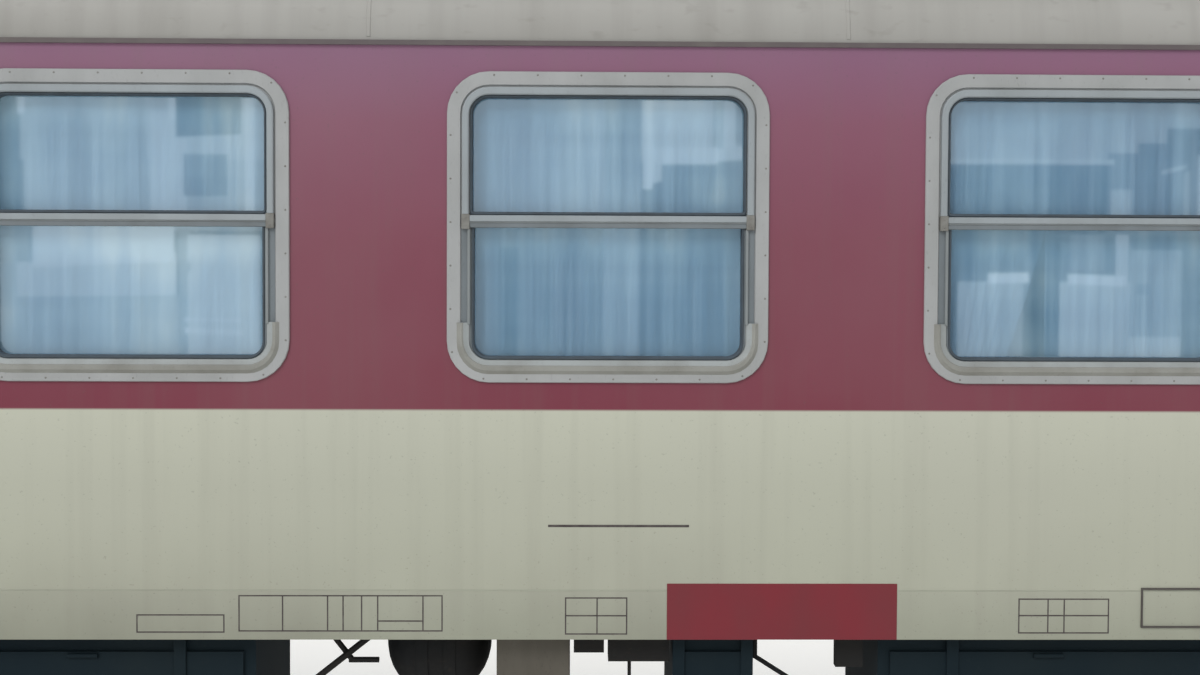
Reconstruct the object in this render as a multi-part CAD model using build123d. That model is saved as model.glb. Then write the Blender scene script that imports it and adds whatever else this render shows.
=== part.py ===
"""A four-axle sleeping coach for international passenger trains, about 24.5 m over its buffers.

X runs along the coach, Y across it and Z up, in millimetres. The origin is on the floor, under the
middle of the coach, where the wheel flanges stand. Heights that end in _Z are above the rail top,
and level() turns them into heights above the floor.
"""

import math
import os

from build123d import *

# The whole coach
LENGTH_OVER_BUFFERS = 24500
PIVOT_DISTANCE = 17200
BODY_LENGTH = 24200
BODY_WIDTH = 2825
ROOF_Z = 4050
ROOF_END_DROP = 120
CANTRAIL_Z = 3005
FLOOR_Z = 1250
SILL_Z = 1050
FLANGE = 28
WALL = 70

# Windows: outer size of the casing, clear opening inside it, and where they sit
WINDOW_PITCH = 1570
CORRIDOR_PITCH = 2093
WINDOW_Z = 2412
CASING = (1056, 1018, 137)
OPENING = (905, 869, 60)
SMALL_CASING = (640, 700, 105)
SMALL_OPENING = (510, 570, 48)
SMALL_X = 9700
SMALL_Z = 2567
CASING_PROUD = 9
MOULDING_PROUD = 17
MOULDING = 24
TRAY = 44
TRAY_BELOW = 312
LIP_PROUD = 12
LIP = 9
CASING_DEPTH = 30
HOLE_MARGIN = 19
PANEL_JOINT = 0.8
RAIL_ABOVE_CENTRE = 20
RAIL_HEIGHT = 49
PANE = 8

# Doors
DOOR_X = 11330
DOOR_WIDTH = 820
DOOR_TOP_Z = 2960
LEAF = 38
LEAF_RECESS = 2
LEAF_GAP = 6
LEAF_A = 398
LEAF_B = 396
LEAF_WINDOW = (230, 800, 55)
LEAF_WINDOW_Z = 2300
END_DOOR = (800, 1880, 35)
END_DOOR_GAP = 8

# Bogies and wheelsets
WHEELBASE = 2600
WHEEL_R = 460
BACK_TO_BACK = 1360
TYRE_WIDTH = 135
JOURNAL_Y = 1000
JOURNAL_R = 65
BEAM_Y = (925, 1075)
SPRING_X = 225
BOLSTER_TOP_Z = 880
PIVOT_R = 60
RUNNING = 0.08

# Ends
BUFFER_Y = 875
BUFFER_Z = 1060
HEADSTOCK_X = 11630
HEADSTOCK_Y = 1080

HALF = BODY_LENGTH / 2
SIDE = BODY_WIDTH / 2
INNER = SIDE - WALL
AXLE_Z = WHEEL_R


def level(height_over_rail):
    """Height above the floor on which the flanges stand."""
    return height_over_rail + FLANGE


def block(x0, x1, y0, y1, z0, z1):
    """A box between two corners, with its heights above the rail."""
    centre = Pos((x0 + x1) / 2, (y0 + y1) / 2, level((z0 + z1) / 2))
    return centre * Box(abs(x1 - x0), abs(y1 - y0), abs(z1 - z0))


def across(outline, y0, y1):
    """Extrudes an outline drawn in X and Z from y0 to y1."""
    low, high = sorted((y0, y1))
    plane = Plane(origin=(0, high, 0), x_dir=(1, 0, 0), z_dir=(0, -1, 0))
    return extrude(plane * outline, amount=high - low)


def along(outline, x0, x1):
    """Extrudes an outline drawn in Y and Z from x0 to x1."""
    low, high = sorted((x0, x1))
    plane = Plane(origin=(low, 0, 0), x_dir=(0, 1, 0), z_dir=(1, 0, 0))
    return extrude(plane * outline, amount=high - low)


def rod(start, end, radius):
    """A round bar between two points whose heights are above the rail."""
    a = Vector(start[0], start[1], level(start[2]))
    b = Vector(end[0], end[1], level(end[2]))
    plane = Plane(origin=a, z_dir=b - a)
    return extrude(plane * Circle(radius), amount=(b - a).length)


def flat_bar(start, end, radius, sides=12):
    """A round bar in a few flats, for one in which nothing turns and to which nothing is joined."""
    a = Vector(start[0], start[1], level(start[2]))
    b = Vector(end[0], end[1], level(end[2]))
    return extrude(Plane(origin=a, z_dir=b - a) * RegularPolygon(radius, sides), amount=(b - a).length)


def eased(points, reach, steps):
    """The same run of points, with each corner turned in a few short steps that start reach before it."""
    run = [Vector(*p) for p in points]
    made = [run[0]]
    for before, corner, after in zip(run, run[1:], run[2:]):
        a = corner + (before - corner).normalized() * reach
        b = corner + (after - corner).normalized() * reach
        for n in range(steps + 1):
            t = n / steps
            made.append(a * (1 - t) ** 2 + corner * (2 * t * (1 - t)) + b * t**2)
    return [tuple(p) for p in made + [run[-1]]]


def bent_bar(points, section):
    """A bar of one section through points whose heights are above the rail, mitred at its corners."""
    path = Polyline(*[(x, y, level(z)) for x, y, z in points])
    start = Plane(origin=path @ 0, z_dir=path % 0)
    return sweep(start * section, path=path, transition=Transition.RIGHT)


def rounded(width, height, radius, flats=4):
    """An upright rectangle with round corners, each of them in a few flats."""
    points = []
    for quarter, (sx, sz) in enumerate([(1, 1), (-1, 1), (-1, -1), (1, -1)]):
        for step in range(flats + 1):
            turn = math.radians(90 * (quarter + step / flats))
            x = sx * (width / 2 - radius) + radius * math.cos(turn)
            z = sz * (height / 2 - radius) + radius * math.sin(turn)
            points.append((x, z))
    return make_face(Polyline(*points, close=True))


def in_flats(profile, sides, hollow=False):
    """A piece turned about Z from (radius, height) points, in flat sides. A hollow one closes on itself, and
    any other is closed by a flat face at its first and its last point."""
    rings = []
    for radius, height in profile:
        turns = [2 * math.pi * n / sides for n in range(sides)]
        rings.append([Vector(radius * math.cos(t), radius * math.sin(t), height) for t in turns])
    faces = []
    following = rings[1:] + rings[:1] if hollow else rings[1:]
    for low, high in zip(rings, following):
        for n in range(sides):
            m = (n + 1) % sides
            faces.append(make_face(Polyline(low[n], low[m], high[m], high[n], close=True)))
    if not hollow:
        faces += [make_face(Polyline(*ring, close=True)) for ring in (rings[0], rings[-1])]
    return Solid(Shell(ShapeList(f.faces()[0] for f in faces)))


def fuse(pieces):
    """One solid from pieces that meet."""
    pieces = list(pieces)
    return pieces[0].fuse(*pieces[1:]) if len(pieces) > 1 else pieces[0]


def write(node, pieces):
    """Writes one node: a solid, or like solids that don't touch."""
    solids = [s for piece in pieces for s in piece.solids()]
    shape = solids[0] if len(solids) == 1 else Compound(children=solids)
    export_step(shape, f"parts/{node}.step")


# The coach body


def roof_outline(half_width, base, top, shoulder):
    """The roof's cross-section, as a face: two shoulder arcs tangent to the sides and one wide arc on top."""
    reach, rise = half_width - shoulder, top - base - shoulder
    extra = (reach**2 + rise**2) / (2 * rise)
    turn = math.acos(reach / extra)
    crown = shoulder + extra
    meet_y = reach + shoulder * math.cos(turn)
    meet_z = base + shoulder * math.sin(turn)
    middle = turn / 2
    middle_y = reach + shoulder * math.cos(middle)
    middle_z = base + shoulder * math.sin(middle)
    assert abs(math.hypot(meet_y, meet_z - (top - crown)) - crown) < 0.01
    lines = [
        Line((-half_width, base), (half_width, base)),
        ThreePointArc((half_width, base), (middle_y, middle_z), (meet_y, meet_z)),
        ThreePointArc((meet_y, meet_z), (0, top), (-meet_y, meet_z)),
        ThreePointArc((-meet_y, meet_z), (-middle_y, middle_z), (-half_width, base)),
    ]
    return make_face(lines)


ROOF_SHOULDER = 470
VESTIBULE_X = 11050


def roof_space(inset):
    """The space under the roof's skin, or a skin thickness inside it, cut by the slopes of its two ends."""
    base, top = level(CANTRAIL_Z), level(ROOF_Z) - inset
    barrel = along(roof_outline(SIDE - inset, base, top, ROOF_SHOULDER - inset), -HALF, HALF)
    rise = ROOF_END_DROP
    run = HALF - VESTIBULE_X
    half = [(HALF, base), (HALF, top - rise), (VESTIBULE_X - run, top + rise)]
    slopes = half + [(-x, z) for x, z in reversed(half)]
    return barrel & across(make_face(Polyline(*slopes, close=True)), -SIDE, SIDE)


def roof():
    """One skin over the whole length, with a rain gutter along each side."""
    pieces = [roof_space(0) - roof_space(WALL)]
    for s in (-1, 1):
        gutter = block(-HALF, HALF, s * (SIDE - 4), s * (SIDE + 9), CANTRAIL_Z, CANTRAIL_Z + 16)
        pieces.append(gutter)
    return fuse(pieces)


VENT_PROFILE = [
    # radius, height over the roof's crown
    (150, 0),
    (112, 52),
    (190, 98),
    (172, 140),
]


def roof_vents():
    """A static ventilator over each compartment: a collar that narrows to a waist, and a wide cap."""
    vent = Pos(0, 0, level(ROOF_Z)) * in_flats(VENT_PROFILE, 16)
    return [Pos(n * WINDOW_PITCH, 0, 0) * vent for n in range(-5, 6)]


def window_places(side):
    """(x, z, casing, opening, half-drop rail or not) for each window of one side."""
    if side < 0:
        big = [(n * WINDOW_PITCH, WINDOW_Z, CASING, OPENING, True) for n in range(-5, 6)]
        small = [(e * SMALL_X, SMALL_Z, SMALL_CASING, SMALL_OPENING, False) for e in (-1, 1)]
        return big + small
    return [(n * CORRIDOR_PITCH, WINDOW_Z, CASING, OPENING, True) for n in range(-4, 5)]


def side_wall(side):
    """A side from the sill to the cantrail with its windows and doorways cut: the long panel, and at each
    doorway a lintel and a corner panel, which joints set off from it."""
    wall = block(-HALF, HALF, side * INNER, side * SIDE, SILL_Z, CANTRAIL_Z)
    corners = wall.edges().filter_by(Axis.Z).filter_by(lambda e: abs(e.center().Y) > SIDE - 1)
    wall = chamfer(corners, WALL - 12)
    cuts = []
    for x, z, _, opening, _ in window_places(side):
        w, h = opening[0] / 2 + HOLE_MARGIN, opening[1] / 2 + HOLE_MARGIN
        cuts.append(block(x - w, x + w, side * (INNER - 5), side * (SIDE + 5), z - h, z + h))
    for e in (-1, 1):
        low, high = e * DOOR_X - DOOR_WIDTH / 2, e * DOOR_X + DOOR_WIDTH / 2
        cuts.append(block(low, high, side * (INNER - 5), side * (SIDE + 5), SILL_Z - 5, DOOR_TOP_Z))
        for x in (low, high):
            joint = block(x - PANEL_JOINT / 2, x + PANEL_JOINT / 2, side * (INNER - 5), side * (SIDE + 5), 2900, 3100)
            cuts.append(joint)
    return wall - cuts


def half_drop_runs(x, z, opening, side):
    """What stands proud of the flange: a moulding round the upper sash that ends at the rail, a lip along each
    guide channel below it, and a tray that closes the two channels at the foot."""
    here = Pos(x, level(z))
    crest = across(
        here * rounded(opening[0] + 2 * MOULDING, opening[1] + 2 * MOULDING, opening[2] + MOULDING),
        side * SIDE,
        side * (SIDE + MOULDING_PROUD),
    )
    pan = across(
        here * rounded(opening[0] + 2 * TRAY, opening[1] + 2 * TRAY, opening[2] + TRAY),
        side * SIDE,
        side * (SIDE + MOULDING_PROUD),
    )
    rail_top = z + RAIL_ABOVE_CENTRE + RAIL_HEIGHT / 2
    above = block(x - 600, x + 600, side * (SIDE - 5), side * (SIDE + 30), rail_top, z + 600)
    below = block(x - 600, x + 600, side * (SIDE - 5), side * (SIDE + 30), z - 600, z - TRAY_BELOW)
    runs = [crest & above, pan & below]
    for hand in (-1, 1):
        inner = x + hand * (opening[0] / 2 - 1)
        lip = block(
            inner, inner + hand * LIP, side * SIDE, side * (SIDE + LIP_PROUD), z - TRAY_BELOW - 1, rail_top
        )
        runs.append(lip)
    return runs


def casings(side):
    """Window casings: a flange on the wall, a raised moulding, a neck through the wall and a half-drop rail."""
    made = []
    for x, z, casing, opening, rail in window_places(side):
        here = Pos(x, level(z))
        clear = here * rounded(*opening)
        neck_w, neck_h = opening[0] + 2 * HOLE_MARGIN - 2, opening[1] + 2 * HOLE_MARGIN - 2
        crest = rounded(opening[0] + 2 * MOULDING, opening[1] + 2 * MOULDING, opening[2] + MOULDING)
        flange = across(here * rounded(*casing), side * SIDE, side * (SIDE + CASING_PROUD))
        if rail:
            proud = half_drop_runs(x, z, opening, side)
        else:
            proud = [across(here * crest, side * SIDE, side * (SIDE + MOULDING_PROUD))]
        neck = across(here * Rectangle(neck_w, neck_h), side * (SIDE - CASING_DEPTH), side * SIDE)
        hole = across(clear, side * (SIDE - 2 * CASING_DEPTH), side * (SIDE + 2 * CASING_DEPTH))
        ring = fuse([flange, neck] + proud) - hole
        if rail:
            centre = z + RAIL_ABOVE_CENTRE
            bar = block(
                x - opening[0] / 2 - 1,
                x + opening[0] / 2 + 1,
                side * (SIDE - CASING_DEPTH),
                side * (SIDE + MOULDING_PROUD - 6),
                centre - RAIL_HEIGHT / 2,
                centre + RAIL_HEIGHT / 2,
            )
            ring = fuse([ring, bar])
        made.append(ring)
    return made


def panes(side, small):
    """The glass behind each casing: one pane above the rail and one below, or one in a small window."""
    made = []
    for x, z, _, opening, rail in window_places(side):
        if rail == small:
            continue
        w = opening[0] / 2 + HOLE_MARGIN - 1
        low, high = z - opening[1] / 2 - HOLE_MARGIN + 1, z + opening[1] / 2 + HOLE_MARGIN - 1
        split = z + RAIL_ABOVE_CENTRE
        spans = [(low, split - 1), (split + 1, high)] if rail else [(low, high)]
        y1 = SIDE - CASING_DEPTH
        for z0, z1 in spans:
            made.append(block(x - w, x + w, side * (y1 - PANE), side * y1, z0, z1))
    return made


CURTAIN_Y = (8, 38)
CURTAIN_Z = (1940, 2885)


def curtains(side):
    """Two hanging curtains in each large window: drawn across the compartments, tied back in the corridor."""
    made = []
    y0, y1 = side * (INNER - CURTAIN_Y[0]), side * (INNER - CURTAIN_Y[1])
    for x, _, _, opening, rail in window_places(side):
        if not rail:
            continue
        edge = opening[0] / 2 + 45
        inner_edge = 6 if side < 0 else edge - 170
        for hand in (-1, 1):
            made.append(block(x + hand * inner_edge, x + hand * edge, y0, y1, *CURTAIN_Z))
    return made


def floor():
    """The floor slab, cut out over the four step wells."""
    slab = block(-HALF + WALL, HALF - WALL, -INNER, INNER, FLOOR_Z - 70, FLOOR_Z)
    wells = []
    for e in (-1, 1):
        for s in (-1, 1):
            low, high = e * DOOR_X - DOOR_WIDTH / 2, e * DOOR_X + DOOR_WIDTH / 2
            wells.append(block(low, high, s * 1100, s * (INNER + 5), FLOOR_Z - 80, FLOOR_Z + 10))
    return slab - wells


CEILING_Z = 3185


def ceiling():
    """The ceiling over the compartments, corridor and vestibules."""
    return block(-HALF + WALL, HALF - WALL, -1280, 1280, CEILING_Z, CEILING_Z + 20)


CORRIDOR_Y = 560
PARTITION_X = 10740


def corridor_wall():
    """The wall between compartments and corridor, with a sliding door's panel standing out at each compartment."""
    end = PARTITION_X
    wall = block(-end, end, CORRIDOR_Y, CORRIDOR_Y + 40, FLOOR_Z, CEILING_Z)
    doors = [
        block(x - 310, x + 310, CORRIDOR_Y + 39, CORRIDOR_Y + 62, FLOOR_Z + 15, FLOOR_Z + 1850)
        for x in [n * WINDOW_PITCH for n in range(-5, 6)]
    ]
    return fuse([wall] + doors)


def partitions():
    """The walls between the compartments."""
    return [
        block(x - 20, x + 20, -1290, CORRIDOR_Y, FLOOR_Z, CEILING_Z)
        for x in [(n + 0.5) * WINDOW_PITCH for n in range(-6, 6)]
    ]


def vestibule_walls():
    """The wall across the coach at each vestibule, open at the corridor."""
    made = []
    for e in (-1, 1):
        wall = block(e * PARTITION_X, e * (PARTITION_X + 40), -1290, 1290, FLOOR_Z, CEILING_Z)
        way = block(
            e * (PARTITION_X - 5), e * (PARTITION_X + 45), CORRIDOR_Y + 60, 1260, FLOOR_Z - 5, 3100
        )
        made.append(wall - way)
    return made


END_WALL_FOOT_Z = 1180
END_WAY = (760, 1860)


def end_walls():
    """The two ends inside the roof and sides, each with its gangway opening."""
    made = []
    under_roof = roof_space(WALL + 0.5)
    for e in (-1, 1):
        x0, x1 = e * (HALF - WALL), e * HALF
        wall = block(x0, x1, -INNER + 0.5, INNER - 0.5, END_WALL_FOOT_Z, ROOF_Z)
        lower = block(x0, x1, -INNER + 0.5, INNER - 0.5, END_WALL_FOOT_Z, CANTRAIL_Z)
        upper = wall & under_roof
        way = block(
            x0 - 200, x1 + 200, -END_WAY[0] / 2, END_WAY[0] / 2, FLOOR_Z, FLOOR_Z + END_WAY[1]
        )
        made.append(fuse([lower, upper]) - way)
    return made


def end_door(e):
    """A sliding door behind the gangway opening, and its pane."""
    width, height, thick = END_DOOR
    outer = HALF - WALL - END_DOOR_GAP
    leaf = block(
        e * (outer - thick), e * outer, -width / 2, width / 2, FLOOR_Z + 10, FLOOR_Z + 10 + height
    )
    opening = Pos(0, level(FLOOR_Z + 1350)) * rounded(420, 640, 50)
    glass = Pos(0, level(FLOOR_Z + 1350)) * rounded(419, 639, 49.5)
    leaf = leaf - along(opening, e * (outer - 2 * thick), e * (outer + thick))
    middle = outer - thick / 2
    return [leaf, along(glass, e * (middle - PANE / 2), e * (middle + PANE / 2))]


def door_leaves(e, s):
    """The two leaves of a folding door, shut: A on the jamb by the coach's end, B on the knuckles between them."""
    jamb = DOOR_X + DOOR_WIDTH / 2
    outer = SIDE - LEAF_RECESS
    made = []
    start = jamb - LEAF_GAP
    for width in (LEAF_A, LEAF_B):
        leaf = block(
            e * start, e * (start - width), s * (outer - LEAF), s * outer, SILL_Z + 12, DOOR_TOP_Z - 8
        )
        centre = e * (start - width / 2)
        w, h, r = LEAF_WINDOW
        here = Pos(centre, level(LEAF_WINDOW_Z))
        opening = across(here * rounded(w, h, r), s * (outer - 2 * LEAF), s * (outer + LEAF))
        middle = outer - LEAF / 2
        glass = here * rounded(w - 1, h - 1, r - 0.5)
        pane = across(glass, s * (middle - PANE / 2), s * (middle + PANE / 2))
        made.append([leaf - opening, pane])
        start -= width + LEAF_GAP
    return made


# Underframe, ends and what hangs below

SOLEBAR_Y = (1240, 1335)


BRACES = [
    # stays in the two gaps between the cases: upper end, lower end, radius
    ((-748, -1290, SILL_Z + 16), (-1150, -1290, 748), 11),
    ((-957, -1280, SILL_Z + 16), (-862, -1280, 944), 10),
    ((-872, -1280, 942), (-770, -1280, 942), 10),
    ((508, -1290, SILL_Z + 16), (508, -1290, 952), 9),
    ((504, -1290, 960), (894, -1290, 712), 8),
    ((81, -1290, 960), (81, -1290, 740), 6),
]
GUSSETS = [
    # plates below the sole bar on the photographed side: x0, x1, inner y, foot z
    (-108, -6, 1270, 983),
    (8, 214, 1250, 953),
    (776, 868, 1300, 934),
]


def underframe():
    """Sole bars, centre sills, cross-bearers, bogie bolsters with their pivots, and the headstocks."""
    pieces = []
    top = FLOOR_Z - 70
    pivot_x = PIVOT_DISTANCE / 2
    inner_jamb = DOOR_X - DOOR_WIDTH / 2
    for s in (-1, 1):
        web = block(-inner_jamb, inner_jamb, s * SOLEBAR_Y[1], s * (SOLEBAR_Y[1] - 14), SILL_Z + 10, top)
        lip = block(-inner_jamb, inner_jamb, s * SOLEBAR_Y[0], s * SOLEBAR_Y[1], SILL_Z + 10, SILL_Z + 24)
        head = block(-inner_jamb, inner_jamb, s * SOLEBAR_Y[0], s * SOLEBAR_Y[1], top - 14, top)
        pieces += [web, lip, head]
        pieces.append(
            block(-HEADSTOCK_X, HEADSTOCK_X, s * 560, s * 640, SILL_Z + 10, top)
        )
    bearer_xs = [n * WINDOW_PITCH for n in range(-4, 5)] + [-10300, 10300]
    for x in bearer_xs:
        pieces.append(block(x - 40, x + 40, -SOLEBAR_Y[0] - 5, SOLEBAR_Y[0] + 5, SILL_Z + 20, top))
    for e in (-1, 1):
        x = e * pivot_x
        pieces.append(block(x - 260, x + 260, -SOLEBAR_Y[0] - 5, SOLEBAR_Y[0] + 5, 1000, top))
        pieces.append(rod((x, 0, 1010), (x, 0, BOLSTER_TOP_Z - 60), PIVOT_R))
        pieces.append(
            block(e * (HEADSTOCK_X - 70), e * HEADSTOCK_X, -HEADSTOCK_Y, HEADSTOCK_Y, 900, top)
        )
        for s in (-1, 1):
            pieces.append(
                block(e * inner_jamb, e * HEADSTOCK_X, s * 1000, s * HEADSTOCK_Y, SILL_Z + 10, top)
            )
        cross = block(
            e * (inner_jamb - 60), e * inner_jamb, -SOLEBAR_Y[1], SOLEBAR_Y[1], SILL_Z + 10, top
        )
        pieces.append(cross)
    for start, end, radius in BRACES:
        pieces.append(flat_bar(start, end, radius, 6))
    for x0, x1, inner, foot in GUSSETS:
        pieces.append(block(x0, x1, -inner, -SOLEBAR_Y[1], foot, SILL_Z + 20))
    return fuse(pieces)


BUFFER_PROFILE = [
    # radius, distance back from the buffing face
    (108, 600),
    (108, 220),
    (88, 214),
    (88, 60),
    (225, 32),
    (225, 16),
    (120, 0),
]


def buffers():
    """Four side buffers: base plate, sleeve, plunger and a round head that slopes off to its rim."""
    turned = in_flats([(r, -back) for r, back in BUFFER_PROFILE], 20)
    face = LENGTH_OVER_BUFFERS / 2
    made = []
    for e in (-1, 1):
        for s in (-1, 1):
            y = s * BUFFER_Y
            base = block(
                e * HEADSTOCK_X, e * (HEADSTOCK_X + 25), y - 155, y + 155, BUFFER_Z - 150, BUFFER_Z + 118
            )
            made.append(fuse([base, Pos(e * face, y, level(BUFFER_Z)) * Rot(0, 90 * e, 0) * turned]))
    return made


def draw_gear():
    """At each end a draw hook with its guide, and the screw coupling's link hung up on the hook."""
    made = []
    root = HEADSTOCK_X
    for e in (-1, 1):
        guide = block(e * root, e * (root + 60), -130, 130, BUFFER_Z - 130, BUFFER_Z + 90)
        shank = block(e * root, e * (root + 330), -28, 28, BUFFER_Z - 40, BUFFER_Z + 30)
        outline = make_face(
            [
                Line((300, -45), (470, -45)),
                ThreePointArc((470, -45), (560, 20), (520, 120)),
                Line((520, 120), (470, 120)),
                ThreePointArc((470, 120), (478, 50), (420, 30)),
                ThreePointArc((420, 30), (360, 60), (350, 30)),
                Line((350, 30), (300, 30)),
                Line((300, 30), (300, -45)),
            ]
        )
        hook = across(Pos(root, level(BUFFER_Z)) * outline, -30, 30)
        if e < 0:
            hook = mirror(hook, about=Plane.YZ)
        x = e * (root + 415)
        loop = [
            (x, 50, BUFFER_Z + 5),
            (x, 90, BUFFER_Z - 60),
            (x, 90, BUFFER_Z - 330),
            (x, -90, BUFFER_Z - 330),
            (x, -90, BUFFER_Z - 60),
            (x, -50, BUFFER_Z + 5),
        ]
        link = bent_bar(eased(loop, 32, 2), RegularPolygon(17, 8))
        pin = flat_bar((x, -75, BUFFER_Z + 5), (x, 75, BUFFER_Z + 5), 22)
        made.append(fuse([guide, shank, hook, link, pin]))
    return made


GANGWAY_Y = 560
GANGWAY_R = 85


def gangway_rubbers():
    """A thick rubber tube round three sides of each gangway opening."""
    made = []
    for e in (-1, 1):
        x = e * (HALF + GANGWAY_R + 12)
        points = [
            (x, -GANGWAY_Y, FLOOR_Z - 30),
            (x, -GANGWAY_Y, 3290),
            (x, GANGWAY_Y, 3290),
            (x, GANGWAY_Y, FLOOR_Z - 30),
        ]
        tube = bent_bar(eased(points, 230, 4), RegularPolygon(GANGWAY_R, 12))
        feet = [
            block(e * HALF, e * (HALF + 30), s * (GANGWAY_Y - 60), s * (GANGWAY_Y + 60), 1190, 3200)
            for s in (-1, 1)
        ]
        feet.append(block(e * HALF, e * (HALF + 30), -400, 400, 3230, 3350))
        made.append(fuse([tube] + feet))
    return made


def bridge_plates():
    """The fall plate hinged below each gangway opening, swung down on its brackets."""
    made = []
    for e in (-1, 1):
        plate = block(e * (HALF + 3), e * (HALF + 175), -390, 390, FLOOR_Z - 12, FLOOR_Z)
        hinge = flat_bar((e * (HALF + 12), -400, FLOOR_Z - 16), (e * (HALF + 12), 400, FLOOR_Z - 16), 11)
        bracket = [
            block(e * HALF, e * (HALF + 150), s * 330 - 8, s * 330 + 8, FLOOR_Z - 90, FLOOR_Z - 10)
            for s in (-1, 1)
        ]
        made.append(fuse([plate, hinge] + bracket))
    return made


STEP_TREADS = [
    # tread height, inner edge, outer edge
    (420, 1150, 1400),
    (690, 1125, 1375),
    (965, 1100, 1350),
]


def steps():
    """Under each doorway, three treads between two hanger plates, and the well's riser."""
    made = []
    for e in (-1, 1):
        for s in (-1, 1):
            half = DOOR_WIDTH / 2 - 25
            low, high = e * DOOR_X - half, e * DOOR_X + half
            pieces = []
            for z, y0, y1 in STEP_TREADS:
                pieces.append(block(low, high, s * y0, s * y1, z - 30, z))
            outline = [(1100, 1180), (1100, 960), (1145, 390), (1402, 390), (1402, 450), (1352, 1010), (1352, 1180)]
            for x in (low, high - 12):
                sheet = make_face(Polyline(*[(s * y, level(z)) for y, z in outline], close=True))
                pieces.append(along(sheet, x, x + 12))
            riser = block(low, high, s * 1088, s * 1100.5, 960, 1180)
            pieces.append(riser)
            made.append(fuse(pieces))
    return made


RAIL_STAND_OFF = 52


def handrails():
    """A vertical grab rail on each side of every door."""
    made = []
    for e in (-1, 1):
        for s in (-1, 1):
            for offset in (-1, 1):
                x = e * DOOR_X + offset * (DOOR_WIDTH / 2 + 95)
                wall, out = s * SIDE, s * (SIDE + RAIL_STAND_OFF)
                points = [(x, wall, 1190), (x, out, 1190), (x, out, 2080), (x, wall, 2080)]
                made.append(bent_bar(eased(points, 40, 3), RegularPolygon(14, 8)))
    return made


def side_duct():
    """The upright grey duct that stands beside the middle of the underframe, near the photographed side."""
    duct = block(-368, -122, -1330, -1120, 700, 1048)
    foot = duct.edges().filter_by(Axis.X).filter_by(lambda e: e.center().Z < level(701))
    duct = chamfer(foot, 40)
    flange = block(-378, -112, -1336, -1110, 1030, 1049)
    return [fuse([duct, flange])]


UNDERFLOOR_BOXES = [
    # node, x0, x1, side, inner y, outer y, bottom z, top z
    ("battery_boxes", -3300, -1175, -1, 800, 1330, 470, 1048),
    ("battery_boxes", 2900, 4700, 1, 800, 1330, 470, 1048),
    ("equipment_cases", 920, 3050, -1, 780, 1330, 540, 1048),
    ("equipment_cases", 225, 495, -1, 900, 1330, 600, 1048),
    ("equipment_cases", -4700, -3700, -1, 850, 1330, 600, 1048),
    ("equipment_cases", -2300, -900, 1, 820, 1330, 520, 1048),
    ("equipment_cases", 300, 1700, 1, 860, 1330, 620, 1048),
    ("equipment_cases", 4100, 5400, -1, 860, 1330, 620, 1048),
    ("equipment_cases", -5600, -4300, 1, 860, 1330, 620, 1048),
]
HANGER = 40


def underfloor_boxes(node):
    """Cases hung below the sole bars on straps, each with a chamfered lower edge and a lid line."""
    made = []
    for name, x0, x1, s, y0, y1, z0, z1 in UNDERFLOOR_BOXES:
        if name != node:
            continue
        case = block(x0, x1, s * y0, s * y1, z0, z1)
        foot = case.edges().filter_by(Axis.X).filter_by(lambda e, z=z0: e.center().Z < level(z + 1))
        case = chamfer(foot, 45)
        lid = block(x0 + 40, x1 - 40, s * (y1 - 2), s * (y1 + 12), z0 + 70, z1 - 60)
        straps = [
            block(x - HANGER / 2, x + HANGER / 2, s * (y0 - 12), s * (y1 + 20), z0 - 8, z0 + 1)
            for x in (x0 + 250, x1 - 250)
        ]
        risers = [
            block(x - HANGER / 2, x + HANGER / 2, s * (y1 + 11), s * (y1 + 20), z0 - 8, SILL_Z - 1)
            for x in (x0 + 250, x1 - 250)
        ]
        made.append(fuse([case, lid] + straps + risers))
    return made


AIR_TANKS = [
    # centre x, centre y, centre z, radius, half length, depth of the domed end, top of the straps
    (-583, -1080, 960, 165, 185, 110, 1179),
    (-2700, -590, 790, 150, 700, 60, 1059),
    (2450, 600, 800, 180, 700, 72, 1059),
    (4700, -640, 800, 180, 600, 72, 1059),
]


def air_tanks():
    """Air reservoirs with domed ends, each on two straps up to the frame."""
    made = []
    for x, y, z, radius, half, dome, strap_top in AIR_TANKS:
        rings = [(radius * 0.5, half), (radius * 0.86, half - dome * 0.36), (radius, half - dome)]
        rings = [(r, -at) for r, at in rings] + [(r, at) for r, at in reversed(rings)]
        body = in_flats(rings, 20)
        pieces = [Pos(x, y, level(z)) * Rot(0, 90, 0) * body]
        for t in (-0.55 * half, 0.55 * half):
            pieces.append(block(x + t - 22, x + t + 22, y - 22, y + 22, z + radius * 0.8, strap_top))
        made.append(fuse(pieces))
    return made


def brake_rigging():
    """The brake cylinder on its bracket, its lever, and the pull rods towards both bogies."""
    cylinder = flat_bar((-420, 40, 800), (-20, 40, 800), 175, 24)
    bracket = block(-300, -140, -60, 140, 960, 1062)
    piston = flat_bar((-25, 40, 800), (170, 40, 800), 32)
    lever = block(150, 190, -420, 420, 775, 825)
    rods = [
        flat_bar((170, -390, 800), (6400, -130, 560), 17, 8),
        flat_bar((170, 390, 800), (-6400, 130, 560), 17, 8),
    ]
    links = [
        block(x - 15, x + 15, y - 15, y + 15, z, 1062)
        for x, y, z in [(3300, -260, 690), (-3300, 260, 690), (5600, -163, 598), (-5600, 163, 598)]
    ]
    return [fuse([cylinder, bracket, piston, lever] + rods + links)]


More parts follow.
